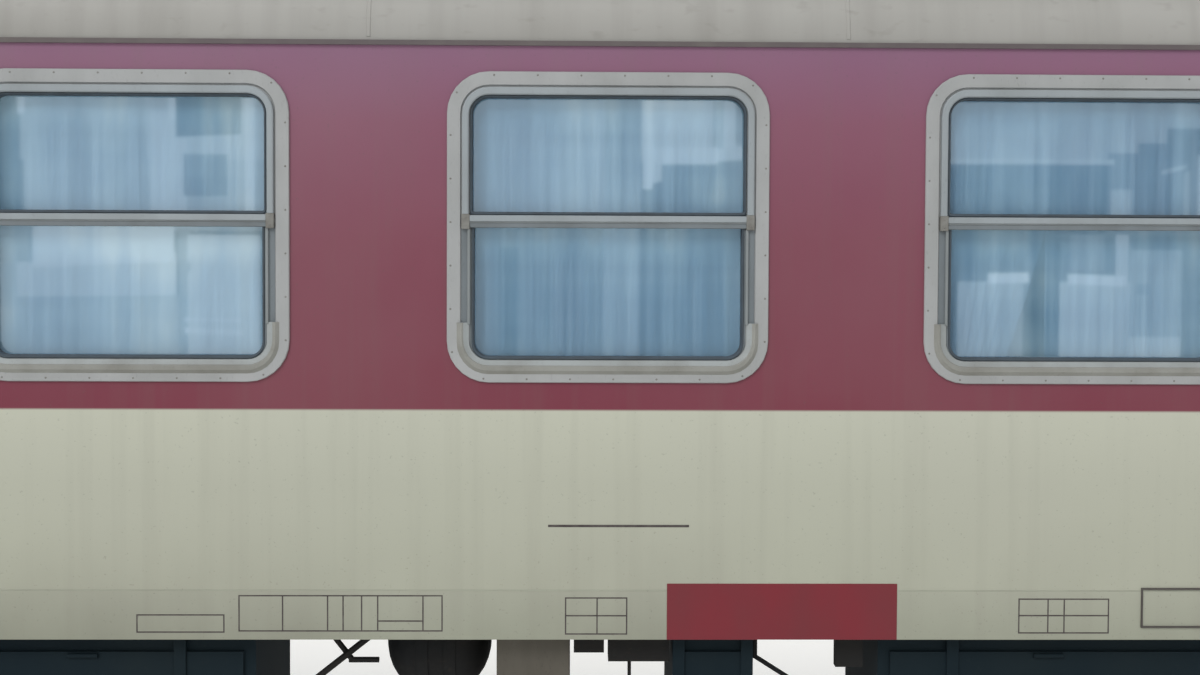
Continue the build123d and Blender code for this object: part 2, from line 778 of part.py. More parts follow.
def pipework():
    """The brake pipe and the heating pipe along the frame, and the soil pipe below each lavatory."""
    made = []
    over = PIVOT_DISTANCE / 2
    for y, radius in ((-350, 22), (350, 30)):
        half = [
            (HEADSTOCK_X + 110, y, 862),
            (HEADSTOCK_X - 240, y, 862),
            (over + 1500, y, 940),
            (over - 1100, y, 940),
            (over - 1500, y, 1020),
        ]
        points = [(-x, at_y, z) for x, at_y, z in half] + half[::-1]
        made.append(bent_bar(points, Circle(radius)))
    for e in (-1, 1):
        made.append(flat_bar((e * 10690, -450, FLOOR_Z - 70), (e * 10690, -450, 560), 72, 16))
    return made


def end_fittings():
    """On each end wall, two round tail lamps and two covered jumper sockets."""
    made = []
    for e in (-1, 1):
        for s in (-1, 1):
            base = flat_bar((e * HALF, s * 1090, 1560), (e * (HALF + 45), s * 1090, 1560), 82, 16)
            lens = flat_bar((e * (HALF + 44), s * 1090, 1560), (e * (HALF + 62), s * 1090, 1560), 68, 16)
            made.append(fuse([base, lens]))
            box = block(e * HALF, e * (HALF + 70), s * 900, s * 1020, 1900, 2060)
            lid = block(e * (HALF + 10), e * (HALF + 92), s * 892, s * 1028, 1975, 2068)
            made.append(fuse([box, lid]))
    return made


# Bogies


def bogie_frame():
    """Two swan-necked side beams, two transoms, end cross-members and the brake hangers' brackets."""
    end, axle = 1920, WHEELBASE / 2
    top = [(-end, 780), (-end + 60, 810), (-780, 830), (-560, 700), (560, 700), (780, 830), (end - 60, 810), (end, 780)]
    foot = [(end, 700), (axle + 330, 650), (axle - 330, 650), (640, 600), (480, 490), (-480, 490), (-640, 600)]
    foot += [(-axle + 330, 650), (-axle - 330, 650), (-end, 700)]
    outline = make_face(Polyline(*[(x, level(z)) for x, z in top + foot], close=True))
    pieces = [across(outline, s * BEAM_Y[0], s * BEAM_Y[1]) for s in (-1, 1)]
    for e in (-1, 1):
        pieces.append(block(e * 300, e * 470, -BEAM_Y[0] - 1, BEAM_Y[0] + 1, 520, 680))
        pieces.append(block(e * (end - 50), e * end, -BEAM_Y[0] - 1, BEAM_Y[0] + 1, 705, 775))
        for s in (-1, 1):
            pieces.append(block(e * 745, e * 795, s * 745, s * (BEAM_Y[0] + 1), 610, 680))
            pieces.append(block(e * 1815, e * (end - 45), s * 745, s * 785, 706, 774))
            for a in (-1, 1):
                spring_x = e * axle + a * SPRING_X
                seat = flat_bar((spring_x, s * JOURNAL_Y, 652), (spring_x, s * JOURNAL_Y, 628), 92, 16)
                pieces.append(seat)
            for t in (-1, 1):
                link = block(t * 290, t * 330, s * 1060, s * 1180, 545, 600)
                if t == e:
                    pieces.append(link)
    return [fuse(pieces)]


def axle_boxes():
    """Four axle boxes: a housing round the journal, a wing under each spring and a round front cover."""
    made = []
    for e in (-1, 1):
        for s in (-1, 1):
            x = e * WHEELBASE / 2
            y0, y1 = s * 905, s * 1112
            body = [(-125, 330), (125, 330), (142, 500), (95, 590), (-95, 590), (-142, 500)]
            housing = across(
                make_face(Polyline(*[(x + dx, level(z)) for dx, z in body], close=True)), y0, y1
            )
            wing = [(-320, 262), (320, 262), (320, 296), (144, 296), (130, 345), (-130, 345), (-144, 296)]
            wing.append((-320, 296))
            wings = across(
                make_face(Polyline(*[(x + dx, level(z)) for dx, z in wing], close=True)),
                s * (JOURNAL_Y - 85),
                s * (JOURNAL_Y + 85),
            )
            cover = flat_bar((x, s * 1111, AXLE_Z), (x, s * 1140, AXLE_Z), 118, 16)
            bore = rod((x, s * 900, AXLE_Z), (x, s * 1095, AXLE_Z), JOURNAL_R + RUNNING)
            made.append(fuse([housing, wings, cover]) - bore)
    return made


def bogie_springs():
    """Two coil springs beside each axle box and two under each end of the bolster, as plain cylinders."""
    made = []
    for s in (-1, 1):
        for e in (-1, 1):
            for a in (-1, 1):
                x = e * WHEELBASE / 2 + a * SPRING_X
                made.append(flat_bar((x, s * JOURNAL_Y, 296.5), (x, s * JOURNAL_Y, 627.5), 74, 16))
            made.append(flat_bar((e * 125, s * 1190, 300.5), (e * 125, s * 1190, 679.5), 92, 16))
    return made


def bolster():
    """The bolster above the side beams, its pivot seat and side bearers, the spring plank and two upright dampers."""
    outline = make_face(
        Polyline(
            *[(y, level(z)) for y, z in [(-1290, 760), (-1290, 820), (-900, BOLSTER_TOP_Z), (900, BOLSTER_TOP_Z)]],
            *[(y, level(z)) for y, z in [(1290, 820), (1290, 760), (700, 716), (-700, 716)]],
            close=True,
        )
    )
    beam = along(outline, -210, 210)
    seat = flat_bar((0, 0, BOLSTER_TOP_Z - 5), (0, 0, 985), 170, 24)
    bearers = [block(-90, 90, s * 700, s * 860, BOLSTER_TOP_Z - 5, 985) for s in (-1, 1)]
    bore = rod((0, 0, BOLSTER_TOP_Z - 80), (0, 0, 1000), PIVOT_R + RUNNING)
    seats = [block(-225, 225, s * 1100, s * 1272, 680, 765) for s in (-1, 1)]
    lugs = [block(-32, 32, s * 1270, s * 1328, 735, 800) for s in (-1, 1)]
    top = fuse([beam, seat] + bearers + seats + lugs) - bore
    return [top]


def spring_plank():
    """The plank hung under the frame that carries the bolster springs, with its swing links and dampers."""
    plank = block(-240, 240, -1285, 1285, 262, 300)
    web = block(-60, 60, -1100, 1100, 230, 263)
    links = []
    for s in (-1, 1):
        for t in (-1, 1):
            links.append(block(t * 295, t * 325, s * 1181, s * 1200, 250, 590))
            links.append(block(t * 235, t * 325, s * 1181, s * 1215, 262, 300))
        links.append(flat_bar((0, s * 1303, 290), (0, s * 1303, 560), 34))
        links.append(flat_bar((0, s * 1303, 559), (0, s * 1303, 734.5), 22))
        links.append(block(-30, 30, s * 1280, s * 1310, 262, 300))
    return fuse([plank, web] + links)


def brake_blocks():
    """Four brake beams, each with a shoe for either wheel and two hangers."""
    made = []
    shoe_in, shoe_out, spread = WHEEL_R + 9, WHEEL_R + 56, 17
    for e in (-1, 1):
        for a in (-1, 1):
            axle_x = e * WHEELBASE / 2
            middle = 0 if a > 0 else 180
            turns = [math.radians(middle + spread * n / 2) for n in range(-2, 3)]
            arc = [(shoe_in / math.cos(math.radians(spread / 4)), t) for t in turns]
            arc += [(shoe_out, t) for t in reversed(turns)]
            ring = [(axle_x + r * math.cos(t), level(AXLE_Z) + r * math.sin(t)) for r, t in arc]
            shoe = make_face(Polyline(*ring, close=True))
            beam_x = axle_x + a * (shoe_out + 28)
            pieces = [flat_bar((beam_x, -835, AXLE_Z), (beam_x, 835, AXLE_Z), 24)]
            hang_top = 609.5 if a * e < 0 else 705.5
            for s in (-1, 1):
                pieces.append(across(shoe, s * 726, s * 806))
                x0 = axle_x + a * (shoe_out - 12)
                pieces.append(block(x0, beam_x, s * 745, s * 787, AXLE_Z - 60, AXLE_Z + 60))
                pieces.append(block(beam_x - 12, beam_x + 12, s * 752, s * 780, AXLE_Z, hang_top))
            made.append(fuse(pieces))
    return made


WHEEL_FLATS = 28


def wheels():
    """Two monobloc wheels of one wheelset: hub, dished web, rim, tread and flange."""
    back = BACK_TO_BACK / 2
    front = back + TYRE_WIDTH
    flange_tip = WHEEL_R + FLANGE
    seat = 93 / math.cos(math.pi / WHEEL_FLATS)
    profile = [
        # radius, distance from the middle of the track
        (seat, back - 12),
        (130, back - 12),
        (392, back + 40),
        (404, back),
        (flange_tip - 8, back),
        (flange_tip, back + 14),
        (WHEEL_R, back + 36),
        (WHEEL_R - 3, front),
        (404, front),
        (392, back + 70),
        (132, front + 20),
        (seat, front + 20),
    ]
    wheel = in_flats(profile, WHEEL_FLATS, hollow=True)
    return [Rot(90 * s, 0, 0) * wheel for s in (-1, 1)]


def axle():
    """The axle with its wheel seats, shoulders and journals."""
    half = [
        # radius, from y, to y
        (84, 0, 655),
        (92.9, 655, 848),
        (JOURNAL_R, 848, 1088),
    ]
    outline = [(0, -half[-1][2])]
    for r, y0, y1 in reversed(half):
        outline += [(r, -y1), (r, -y0)]
    for r, y0, y1 in half:
        outline += [(r, y0), (r, y1)]
    outline.append((0, half[-1][2]))
    points = [p for n, p in enumerate(outline) if n == 0 or p != outline[n - 1]]
    points = [p for p in points if p not in ((84, 0), (84, -0))]
    return revolve(Plane.XY * make_face(Polyline(*points, close=True)), Axis.Y)


def build():
    """Writes every node."""
    os.makedirs("parts", exist_ok=True)
    write("roof", [roof()])
    write("roof_vents", roof_vents())
    for name, s in (("left", -1), ("right", 1)):
        write(f"side_wall_{name}", [side_wall(s)])
        write(f"window_casings_{name}", casings(s))
        write(f"curtains_{name}", curtains(s))
    write("window_glass", panes(-1, small=False) + panes(1, small=False))
    write("frosted_glass", panes(-1, small=True))
    write("end_walls", end_walls())
    write("floor", [floor()])
    write("ceiling", [ceiling()])
    write("corridor_wall", [corridor_wall()])
    write("partitions", partitions())
    write("vestibule_walls", vestibule_walls())
    write("underframe", [underframe()])
    write("buffers", buffers())
    write("draw_gear", draw_gear())
    write("gangway_rubbers", gangway_rubbers())
    write("bridge_plates", bridge_plates())
    write("entrance_steps", steps())
    write("handrails", handrails())
    write("side_duct", side_duct())
    for node in ("battery_boxes", "equipment_cases"):
        write(node, underfloor_boxes(node))
    write("air_tanks", air_tanks())
    write("brake_rigging", brake_rigging())
    write("pipework", pipework())
    write("end_fittings", end_fittings())
    for name, e in (("front", -1), ("rear", 1)):
        write(f"end_door_{name}", end_door(e))
        for side, s in (("left", -1), ("right", 1)):
            leaf_a, leaf_b = door_leaves(e, s)
            write(f"door_{name}_{side}_a", leaf_a)
            write(f"door_{name}_{side}_b", leaf_b)
        here = Pos(e * PIVOT_DISTANCE / 2, 0, 0)
        write(f"bogie_frame_{name}", [here * p for p in bogie_frame()])
        write(f"axle_boxes_{name}", [here * p for p in axle_boxes()])
        write(f"bogie_springs_{name}", [here * p for p in bogie_springs()])
        write(f"bolster_{name}", [here * p for p in bolster()])
        write(f"spring_plank_{name}", [here * spring_plank()])
        write(f"brake_blocks_{name}", [here * p for p in brake_blocks()])
        for number, a in ((1, -1), (2, 1)):
            place = Pos(e * PIVOT_DISTANCE / 2 + a * WHEELBASE / 2, 0, level(AXLE_Z))
            write(f"wheels_{name}_{number}", [place * w for w in wheels()])
            write(f"axle_{name}_{number}", [place * axle()])


build()
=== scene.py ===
# %% [markdown]
# # A sleeping coach, close beside its compartments
# The camera stands about four metres from the middle of a long passenger coach. It sees three windows with
# drawn curtains, the painted band they sit in, the cream side below it and a strip of the underframe.
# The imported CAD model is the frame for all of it: every piece made here sits on that frame and rides on
# one of its bodies, so the coach can be posed with its doors open or its bogies turned.

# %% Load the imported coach
import math
import random

import bmesh
import bpy
from mathutils import Matrix, Vector


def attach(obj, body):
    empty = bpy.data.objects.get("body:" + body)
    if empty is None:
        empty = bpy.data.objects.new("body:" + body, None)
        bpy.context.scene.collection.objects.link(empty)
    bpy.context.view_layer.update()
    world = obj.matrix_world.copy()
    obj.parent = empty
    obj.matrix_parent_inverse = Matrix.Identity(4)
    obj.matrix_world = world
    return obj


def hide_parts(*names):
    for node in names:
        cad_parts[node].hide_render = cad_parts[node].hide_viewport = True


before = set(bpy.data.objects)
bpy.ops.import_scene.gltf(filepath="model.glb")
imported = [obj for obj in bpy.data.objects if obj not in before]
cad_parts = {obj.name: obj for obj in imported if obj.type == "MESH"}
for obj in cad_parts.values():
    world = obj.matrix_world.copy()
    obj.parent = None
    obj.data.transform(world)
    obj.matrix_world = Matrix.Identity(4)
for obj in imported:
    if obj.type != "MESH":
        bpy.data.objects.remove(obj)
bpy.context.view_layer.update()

# %% [markdown]
# ## Camera and light
# A camera could be turned towards a target, but a photograph is matched by five numbers: where the eye is,
# how it is turned, how it leans, the lens, and a small shift of the film. They were found by fitting the
# edges of the windows and of the painted band.

# %% Camera
EYE = (-0.0896, -5.8442, 2.399)
YAW, PITCH, ROLL = 0.821, 1.68, 0.253
lens = bpy.data.cameras.new("eye")
lens.lens = 40.5
lens.sensor_width = 36
lens.shift_y = -0.04789
lens.clip_end = 600
camera = bpy.data.objects.new("eye", lens)
bpy.context.collection.objects.link(camera)
turn = Matrix.Rotation(math.radians(-YAW), 4, "Z")
tilt = Matrix.Rotation(math.radians(90 - PITCH), 4, "X")
lean = Matrix.Rotation(math.radians(ROLL), 4, "Z")
camera.matrix_world = Matrix.Translation(EYE) @ turn @ tilt @ lean
bpy.context.scene.camera = camera
print("camera at", EYE)

# %% [markdown]
# The coach stands under an even sky. One uniform world would light it without any direction, so two wide
# and soft suns add a little: one from the left behind the camera, and a weaker one for the far side. The
# world is white where the camera, a reflection or a pane of glass looks at it, and dimmer as a lamp.

# %% Sky and suns
bpy.context.scene.view_settings.view_transform = "Standard"


def sun(name, strength, azimuth, elevation, spread):
    """A soft sun. Azimuth 0 is on the photographed side, and it turns towards the rear of the coach."""
    lamp = bpy.data.lights.new(name, "SUN")
    lamp.energy = strength
    lamp.angle = math.radians(spread)
    holder = bpy.data.objects.new(name, lamp)
    a, e = math.radians(azimuth), math.radians(elevation)
    from_where = Vector((math.sin(a) * math.cos(e), -math.cos(a) * math.cos(e), math.sin(e)))
    holder.rotation_euler = from_where.to_track_quat("Z", "Y").to_euler()
    bpy.context.collection.objects.link(holder)


sun("near_sun", 1.45, -30, 42, 28)
sun("far_sun", 1.1, 165, 48, 28)
sky = bpy.data.worlds.new("sky")
bpy.context.scene.world = sky
sky.use_nodes = True
nodes, links = sky.node_tree.nodes, sky.node_tree.links
ray = nodes.new("ShaderNodeLightPath")
seen = nodes.new("ShaderNodeMath")
seen.operation = "ADD"
links.new(ray.outputs["Is Camera Ray"], seen.inputs[0])
links.new(ray.outputs["Is Glossy Ray"], seen.inputs[1])
shown = nodes.new("ShaderNodeMath")
shown.operation = "ADD"
shown.use_clamp = True
links.new(seen.outputs[0], shown.inputs[0])
links.new(ray.outputs["Is Transmission Ray"], shown.inputs[1])
strength = nodes.new("ShaderNodeMapRange")
strength.inputs["To Min"].default_value = 0.58
links.new(shown.outputs[0], strength.inputs["Value"])
links.new(strength.outputs["Result"], nodes["Background"].inputs["Strength"])
nodes["Background"].inputs["Color"].default_value = (1, 1, 1, 1)
print("sky and two suns")

# %% [markdown]
# A pane shows what stands opposite: here a hall, a wall with one framed opening over a dark gate, and a low
# wall with a stepped gable. An image could be mirrored too, but flat boards keep sharp edges at any size.
# Only reflections see them, on both sides of the coach, so they neither light it nor stand in any view.

# %% What the panes reflect
BOARDS = [
    # x from, x to, z from, z to, rise to the right, distance, grey
    (-60, 60, -2, 3.4, 0, 14.2, 0.12),
    (-60, 60, 3.4, 9.0, 0, 14.2, 0.72),
    (-60, 60, -2, 0.9, 0, 14.1, 0.45),
    # a hall with a frame, a hatch and a pale low wagon in front of it
    (-8.2, -7.13, 2.5, 4.6, 0, 14.0, 0.08),
    (-7.13, -4.0, 2.5, 3.4, 0, 14.1, 0.62),
    (-7.12, -7.03, 3.95, 4.4, 0, 13.9, 1.0),
    (-7.5, -5.6, 3.4, 4.6, 0, 14.15, 0.58),
    (-5.5, -5.05, 2.7, 4.0, 0, 14.0, 0.88),
    (-5.24, -5.13, 3.9, 4.4, 0, 13.9, 1.0),
    (-5.12, -4.31, 3.66, 4.4, 0.04, 13.8, 0.15),
    (-5.03, -4.48, 2.93, 3.45, 0, 13.8, 0.3),
    (-4.29, -4.17, 2.7, 4.3, 0, 13.9, 1.0),
    (-6.9, -5.15, 2.03, 2.55, 0.08, 13.8, 1.0),
    (-7.5, -5.15, 1.66, 2.2, 0.03, 13.9, 0.8),
    (-7.6, -5.15, 0.6, 1.66, 0.03, 14.0, 0.52),
    (-7.6, -7.1, 1.6, 2.1, 0, 13.8, 0.5),
    (-7.6, -6.9, 2.1, 2.6, 0, 13.9, 0.35),
    (-5.15, -5.01, 0.6, 2.53, 0, 14.0, 0.35),
    (-5.01, -4.1, 0.6, 2.45, 0, 13.9, 0.85),
    (-5.02, -4.3, 1.22, 1.29, -0.03, 13.8, 1.0),
    (-5.02, -4.3, 1.37, 1.41, -0.01, 13.8, 1.0),
    (-5.06, -4.92, 1.99, 2.1, 0, 13.7, 0.4),
    # a wall with one large framed opening, over a dark gate of several leaves
    (-2.0, 0.21, 2.62, 4.6, 0, 14.0, 0.62),
    (0.21, 0.67, 2.62, 4.6, 0, 14.0, 0.42),
    (0.67, 2.2, 2.62, 3.36, 0.06, 13.9, 0.25),
    (0.8, 1.69, 3.5, 4.6, 0, 13.9, 0.88),
    (1.55, 1.69, 3.5, 4.6, 0, 13.8, 0.6),
    (1.84, 2.1, 3.5, 4.6, 0, 13.9, 0.5),
    (0.68, 0.8, 3.04, 4.6, 0, 13.8, 1.0),
    (0.8, 0.92, 3.11, 3.4, 0.03, 13.8, 0.9),
    (0.8, 1.6, 3.34, 3.55, 0.01, 13.7, 1.0),
    (1.6, 1.95, 3.38, 3.54, 0.05, 13.7, 0.85),
    (1.69, 1.84, 3.5, 4.6, 0, 13.8, 0.95),
    (-1.9, 0.21, 0.6, 2.6, 0, 14.0, 0.24),
    (0.21, 0.66, 0.6, 2.6, 0, 14.0, 0.36),
    (0.66, 2.3, 0.6, 2.6, 0, 14.0, 0.18),
    (-1.44, -1.2, 0.6, 2.55, 0, 13.9, 0.36),
    (-1.11, -0.88, 0.6, 2.3, 0, 13.9, 0.1),
    # a low wall with a stepped gable, and two pale carts
    (4.3, 8.6, 3.4, 4.6, 0, 14.15, 0.6),
    (4.3, 6.64, 3.38, 3.45, 0, 13.9, 0.72),
    (6.64, 7.02, 2.5, 3.54, 0, 14.1, 0.24),
    (7.02, 7.39, 2.5, 3.67, 0, 14.1, 0.24),
    (7.39, 8.6, 2.5, 3.86, 0, 14.1, 0.24),
    (6.6, 6.86, 2.6, 3.07, 0, 13.9, 0.6),
    (7.2, 7.52, 3.25, 3.31, 0.08, 13.8, 0.6),
    (7.48, 7.56, 2.6, 3.3, 0, 13.8, 0.6),
    (7.66, 7.71, 2.6, 3.5, 0, 13.8, 1.0),
    (4.7, 5.54, 0.6, 1.9, 0, 14.0, 0.62),
    (5.02, 5.54, 1.88, 2.01, 0.01, 13.8, 1.0),
    (5.57, 5.93, 0.6, 2.4, 0, 13.8, 0.05),
    (6.13, 6.57, 2.03, 2.5, 0, 14.0, 0.32),
    (5.97, 6.9, 0.6, 1.9, 0, 14.0, 0.7),
    (6.03, 6.77, 1.88, 2.01, -0.03, 13.8, 1.0),
    (6.67, 6.84, 1.9, 2.5, 0, 13.9, 0.75),
    (6.9, 7.56, 1.2, 2.31, 0, 14.0, 0.42),
    (6.9, 7.56, 0.6, 1.2, 0, 14.0, 0.7),
    (6.9, 7.06, 1.75, 1.88, 0, 13.8, 0.25),
]
board_mesh = bpy.data.meshes.new("boards")
corners, sheets = [], []
for x0, x1, z0, z1, rise, away, _ in BOARDS:
    outline = ((x0, z0), (x1, z0 + rise), (x1, z1 + rise), (x0, z1))
    for way in (-1, 1):
        sheets.append([len(corners) + n for n in range(4)])
        corners += [(-way * x, way * away, z) for x, z in outline]
board_mesh.from_pydata(corners, [], sheets)
for number, (*_, grey) in enumerate(BOARDS):
    shade = bpy.data.materials.new(f"board_{number}")
    shade.use_nodes = True
    glow = shade.node_tree.nodes.new("ShaderNodeEmission")
    glow.inputs["Color"].default_value = (grey * 0.94, grey * 0.98, grey, 1)
    shade.node_tree.links.new(glow.outputs[0], shade.node_tree.nodes["Material Output"].inputs["Surface"])
    shade.cycles.emission_sampling = "NONE"
    board_mesh.materials.append(shade)
    for side in (0, 1):
        board_mesh.polygons[2 * number + side].material_index = number
boards = bpy.data.objects.new("boards", board_mesh)
bpy.context.collection.objects.link(boards)
for kind in ("camera", "diffuse", "transmission", "shadow", "volume_scatter"):
    setattr(boards, f"visible_{kind}", False)
print("boards opposite:", len(BOARDS))

# %% [markdown]
# ## Tools for finishes
# Each surface of the coach gets one material: Blender's Principled shader, fed by a few noises in the
# coach's own coordinates, so nothing needs unwrapping and the wear stays put when a door moves.

# %% Finishes


def paint(red, green, blue):
    """A colour as it reads on a screen, turned into the linear numbers that Blender works with."""
    linear = []
    for share in (red / 255, green / 255, blue / 255):
        linear.append(share / 12.92 if share <= 0.04045 else ((share + 0.055) / 1.055) ** 2.4)
    return (*linear, 1)


class Finish:
    """One material and short ways to feed its shader."""

    def __init__(self, name, colour=(128, 128, 128), roughness=0.5, metallic=0.0, **fixed):
        self.material = bpy.data.materials.new(name)
        self.material.use_nodes = True
        self.tree = self.material.node_tree
        self.shader = self.tree.nodes["Principled BSDF"]
        self.colour = colour
        self.set("Base Color", paint(*colour))
        self.set("Roughness", roughness)
        self.set("Metallic", metallic)
        for socket, value in fixed.items():
            self.set(socket.replace("_", " "), value)
        self.place = self.tree.nodes.new("ShaderNodeTexCoord").outputs["Object"]

    def feed(self, socket, value):
        """A link if value comes out of a node, and a plain number or colour if not."""
        if isinstance(value, bpy.types.NodeSocket):
            self.tree.links.new(value, socket)
        else:
            socket.default_value = value

    def set(self, name, value):
        self.feed(self.shader.inputs[name], value)

    def node(self, kind, inputs, **settings):
        made = self.tree.nodes.new(kind)
        for key, value in settings.items():
            setattr(made, key, value)
        for key, value in inputs.items():
            self.feed(made.inputs[key], value)
        return made

    def noise(self, scale, detail, stretch=(1, 1, 1)):
        """Soft random patches, 0 to 1, drawn out along the axes whose stretch is small."""
        spot = self.node("ShaderNodeMapping", {"Vector": self.place, "Scale": stretch}).outputs[0]
        inputs = {"Vector": spot, "Scale": scale, "Detail": detail}
        return self.node("ShaderNodeTexNoise", inputs).outputs[0]

    def axis(self, number):
        return self.node("ShaderNodeSeparateXYZ", {"Vector": self.place}).outputs[number]

    def span(self, value, low, high, to_low=0.0, to_high=1.0):
        """value between low and high, turned into a number between to_low and to_high."""
        inputs = {"Value": value, "From Min": low, "From Max": high, "To Min": to_low, "To Max": to_high}
        return self.node("ShaderNodeMapRange", inputs).outputs[0]

    def math(self, kind, a, b=0.0):
        return self.node("ShaderNodeMath", {0: a, 1: b}, operation=kind).outputs[0]

    def mix(self, share, a, b):
        """Two colours, mixed by share. A colour that isn't a socket is given as it reads on a screen."""
        a, b = [paint(*c) if isinstance(c, tuple) else c for c in (a, b)]
        return self.node("ShaderNodeMix", {0: share, 6: a, 7: b}, data_type="RGBA").outputs[2]

    def ramp(self, value, stops):
        """A colour that changes with value: stops are (position, screen colour)."""
        made = self.node("ShaderNodeValToRGB", {0: value})
        edges = made.color_ramp.elements
        while len(edges) < len(stops):
            edges.new(0.5)
        for edge, (position, colour) in zip(edges, stops):
            edge.position = position
            edge.color = paint(*colour)
        return made.outputs[0]

    def bump(self, height, strength, depth):
        inputs = {"Height": height, "Strength": strength, "Distance": depth}
        self.set("Normal", self.node("ShaderNodeBump", inputs).outputs[0])

    def grain(self, scale, detail, strength, depth):
        """A bump all over, made by one noise."""
        self.bump(self.noise(scale, detail), strength, depth)
        return self

    def worn(self, dirt, amount, scale, stretch=(1, 1, 1), over=None):
        """Patches and fine specks of dirt on the finish's own colour, or on the colour socket over."""
        patch = self.span(self.noise(scale, 6, stretch), 0.35, 0.75, 0, amount)
        speck = self.span(self.noise(scale * 22, 2, stretch), 0.62, 0.8, 0, amount * 0.6)
        clean = self.colour if over is None else over
        self.set("Base Color", self.mix(self.math("ADD", patch, speck), clean, dirt))
        return self


def dress(node, *finishes):
    """Gives a CAD node its finish, in place of the plain one it was packed with."""
    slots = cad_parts[node].data.materials
    slots.clear()
    for finish in finishes:
        slots.append(finish.material)


print("finishes are Principled shaders in object coordinates")

# %% [markdown]
# ## Tools for shapes
# Casings, tubes, lamps and curtains are all skins over rings of points. One small class keeps the points
# and faces of a piece. Blender's own sweep of a curve would also do for the tubes, but rings made here
# give each face its own finish and meet exactly where two profiles join.

# %% Shells


class Shell:
    """The points and faces of one piece, each face with the number of its finish."""

    def __init__(self):
        self.points, self.faces, self.finishes = [], [], []

    def skin(self, rings, finish=0, loop=True, closed=False, caps=False, ends=False):
        """Faces between rings of equally many points. loop: each ring closes on itself. closed: the last
        ring joins the first. caps: the first and last rings are filled. ends: the open ends are filled."""
        start, count, rows = len(self.points), len(rings[0]), len(rings)
        self.points += [tuple(p) for ring in rings for p in ring]

        def at(r, n):
            return start + (r % rows) * count + n % count

        made = []
        for r in range(rows if closed else rows - 1):
            for n in range(count if loop else count - 1):
                made.append([at(r, n), at(r, n + 1), at(r + 1, n + 1), at(r + 1, n)])
        if caps:
            made.append([at(0, n) for n in range(count)])
            made.append([at(rows - 1, n) for n in reversed(range(count))])
        if ends:
            made.append([at(r, 0) for r in range(rows)])
            made.append([at(r, count - 1) for r in reversed(range(rows))])
        self.faces += made
        self.finishes += [finish] * len(made)

    def block(self, x, y, z, finish=0, ease=0.0):
        """A box between three pairs of numbers, with its edges eased off by a small chamfer."""
        (x0, x1), (y0, y1), (z0, z1) = sorted(x), sorted(y), sorted(z)
        if not ease:
            foot = [(x0, y0), (x1, y0), (x1, y1), (x0, y1)]
            self.skin([[(a, b, c) for a, b in foot] for c in (z0, z1)], finish, caps=True)
            return
        rings = []
        for c, inset in ((z0, ease), (z0 + ease, 0), (z1 - ease, 0), (z1, ease)):
            a0, a1, b0, b1, e = x0 + inset, x1 - inset, y0 + inset, y1 - inset, ease
            near = [(a0 + e, b0), (a1 - e, b0), (a1, b0 + e), (a1, b1 - e)]
            far = [(a1 - e, b1), (a0 + e, b1), (a0, b1 - e), (a0, b0 + e)]
            rings.append([(a, b, c) for a, b in near + far])
        self.skin(rings, finish, caps=True)

    def turned(self, profile, foot, way, sides=32, finish=0):
        """A turned piece: profile lists (radius, distance along way from foot)."""
        way = Vector(way).normalized()
        side = way.orthogonal().normalized()
        other = way.cross(side)
        rings = []
        for radius, along in profile:
            middle = Vector(foot) + way * along
            turns = [2 * math.pi * n / sides for n in range(sides)]
            reach = max(radius, 1e-4)
            rings.append([middle + side * reach * math.cos(t) + other * reach * math.sin(t) for t in turns])
        self.skin(rings, finish, caps=True)

    def tube(self, points, radius, sides=12, finish=0):
        """A round bar or hose through points, kept free of twist."""
        points = [Vector(p) for p in points]
        ways = [(b - a).normalized() for a, b in zip(points, points[1:])]
        ways = [ways[0]] + [(a + b).normalized() for a, b in zip(ways, ways[1:])] + [ways[-1]]
        side = ways[0].orthogonal().normalized()
        rings = []
        for point, way in zip(points, ways):
            side = (side - way * side.dot(way)).normalized()
            other = way.cross(side)
            turns = [2 * math.pi * n / sides for n in range(sides)]
            rings.append([point + (side * math.cos(t) + other * math.sin(t)) * radius for t in turns])
        self.skin(rings, finish, caps=True)

    def add(self, other, matrix):
        """A copy of another shell, moved by matrix."""
        start = len(self.points)
        self.points += [tuple(matrix @ Vector(p)) for p in other.points]
        self.faces += [[start + n for n in face] for face in other.faces]
        self.finishes += other.finishes

    def copies(self, *places):
        """A new shell with a copy of this one moved by each matrix."""
        made = Shell()
        for place in places:
            made.add(self, place)
        return made


def rounded(points, reach, steps=6):
    """A run of points with each inner corner turned in a curve that starts reach before it."""
    run = [Vector(p) for p in points]
    made = [run[0]]
    for before, corner, after in zip(run, run[1:], run[2:]):
        a = corner + (before - corner).normalized() * min(reach, (before - corner).length * 0.49)
        b = corner + (after - corner).normalized() * min(reach, (after - corner).length * 0.49)
        for n in range(steps + 1):
            t = n / steps
            made.append(a * (1 - t) ** 2 + corner * 2 * t * (1 - t) + b * t**2)
    return made + [run[-1]]


def piece(name, shell, finishes, replaces=(), body="coach", cloth=False):
    """Makes a Blender object from a shell, gives it its finishes and lets it ride on a body of the coach.
    A solid piece has its faces turned outwards and its edges kept sharp. Cloth is smooth all over."""
    mesh = bpy.data.meshes.new(name)
    mesh.from_pydata(shell.points, [], shell.faces)
    for finish in finishes:
        mesh.materials.append(finish.material)
    mesh.polygons.foreach_set("material_index", shell.finishes)
    mesh.shade_smooth()
    if not cloth:
        work = bmesh.new()
        work.from_mesh(mesh)
        bmesh.ops.recalc_face_normals(work, faces=work.faces)
        work.to_mesh(mesh)
        work.free()
        mesh.set_sharp_from_angle(angle=math.radians(32))
    made = bpy.data.objects.new(name, mesh)
    bpy.context.collection.objects.link(made)
    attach(made, body)
    if replaces:
        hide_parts(*replaces)
    return made


print("shells, tubes and turned pieces ready")
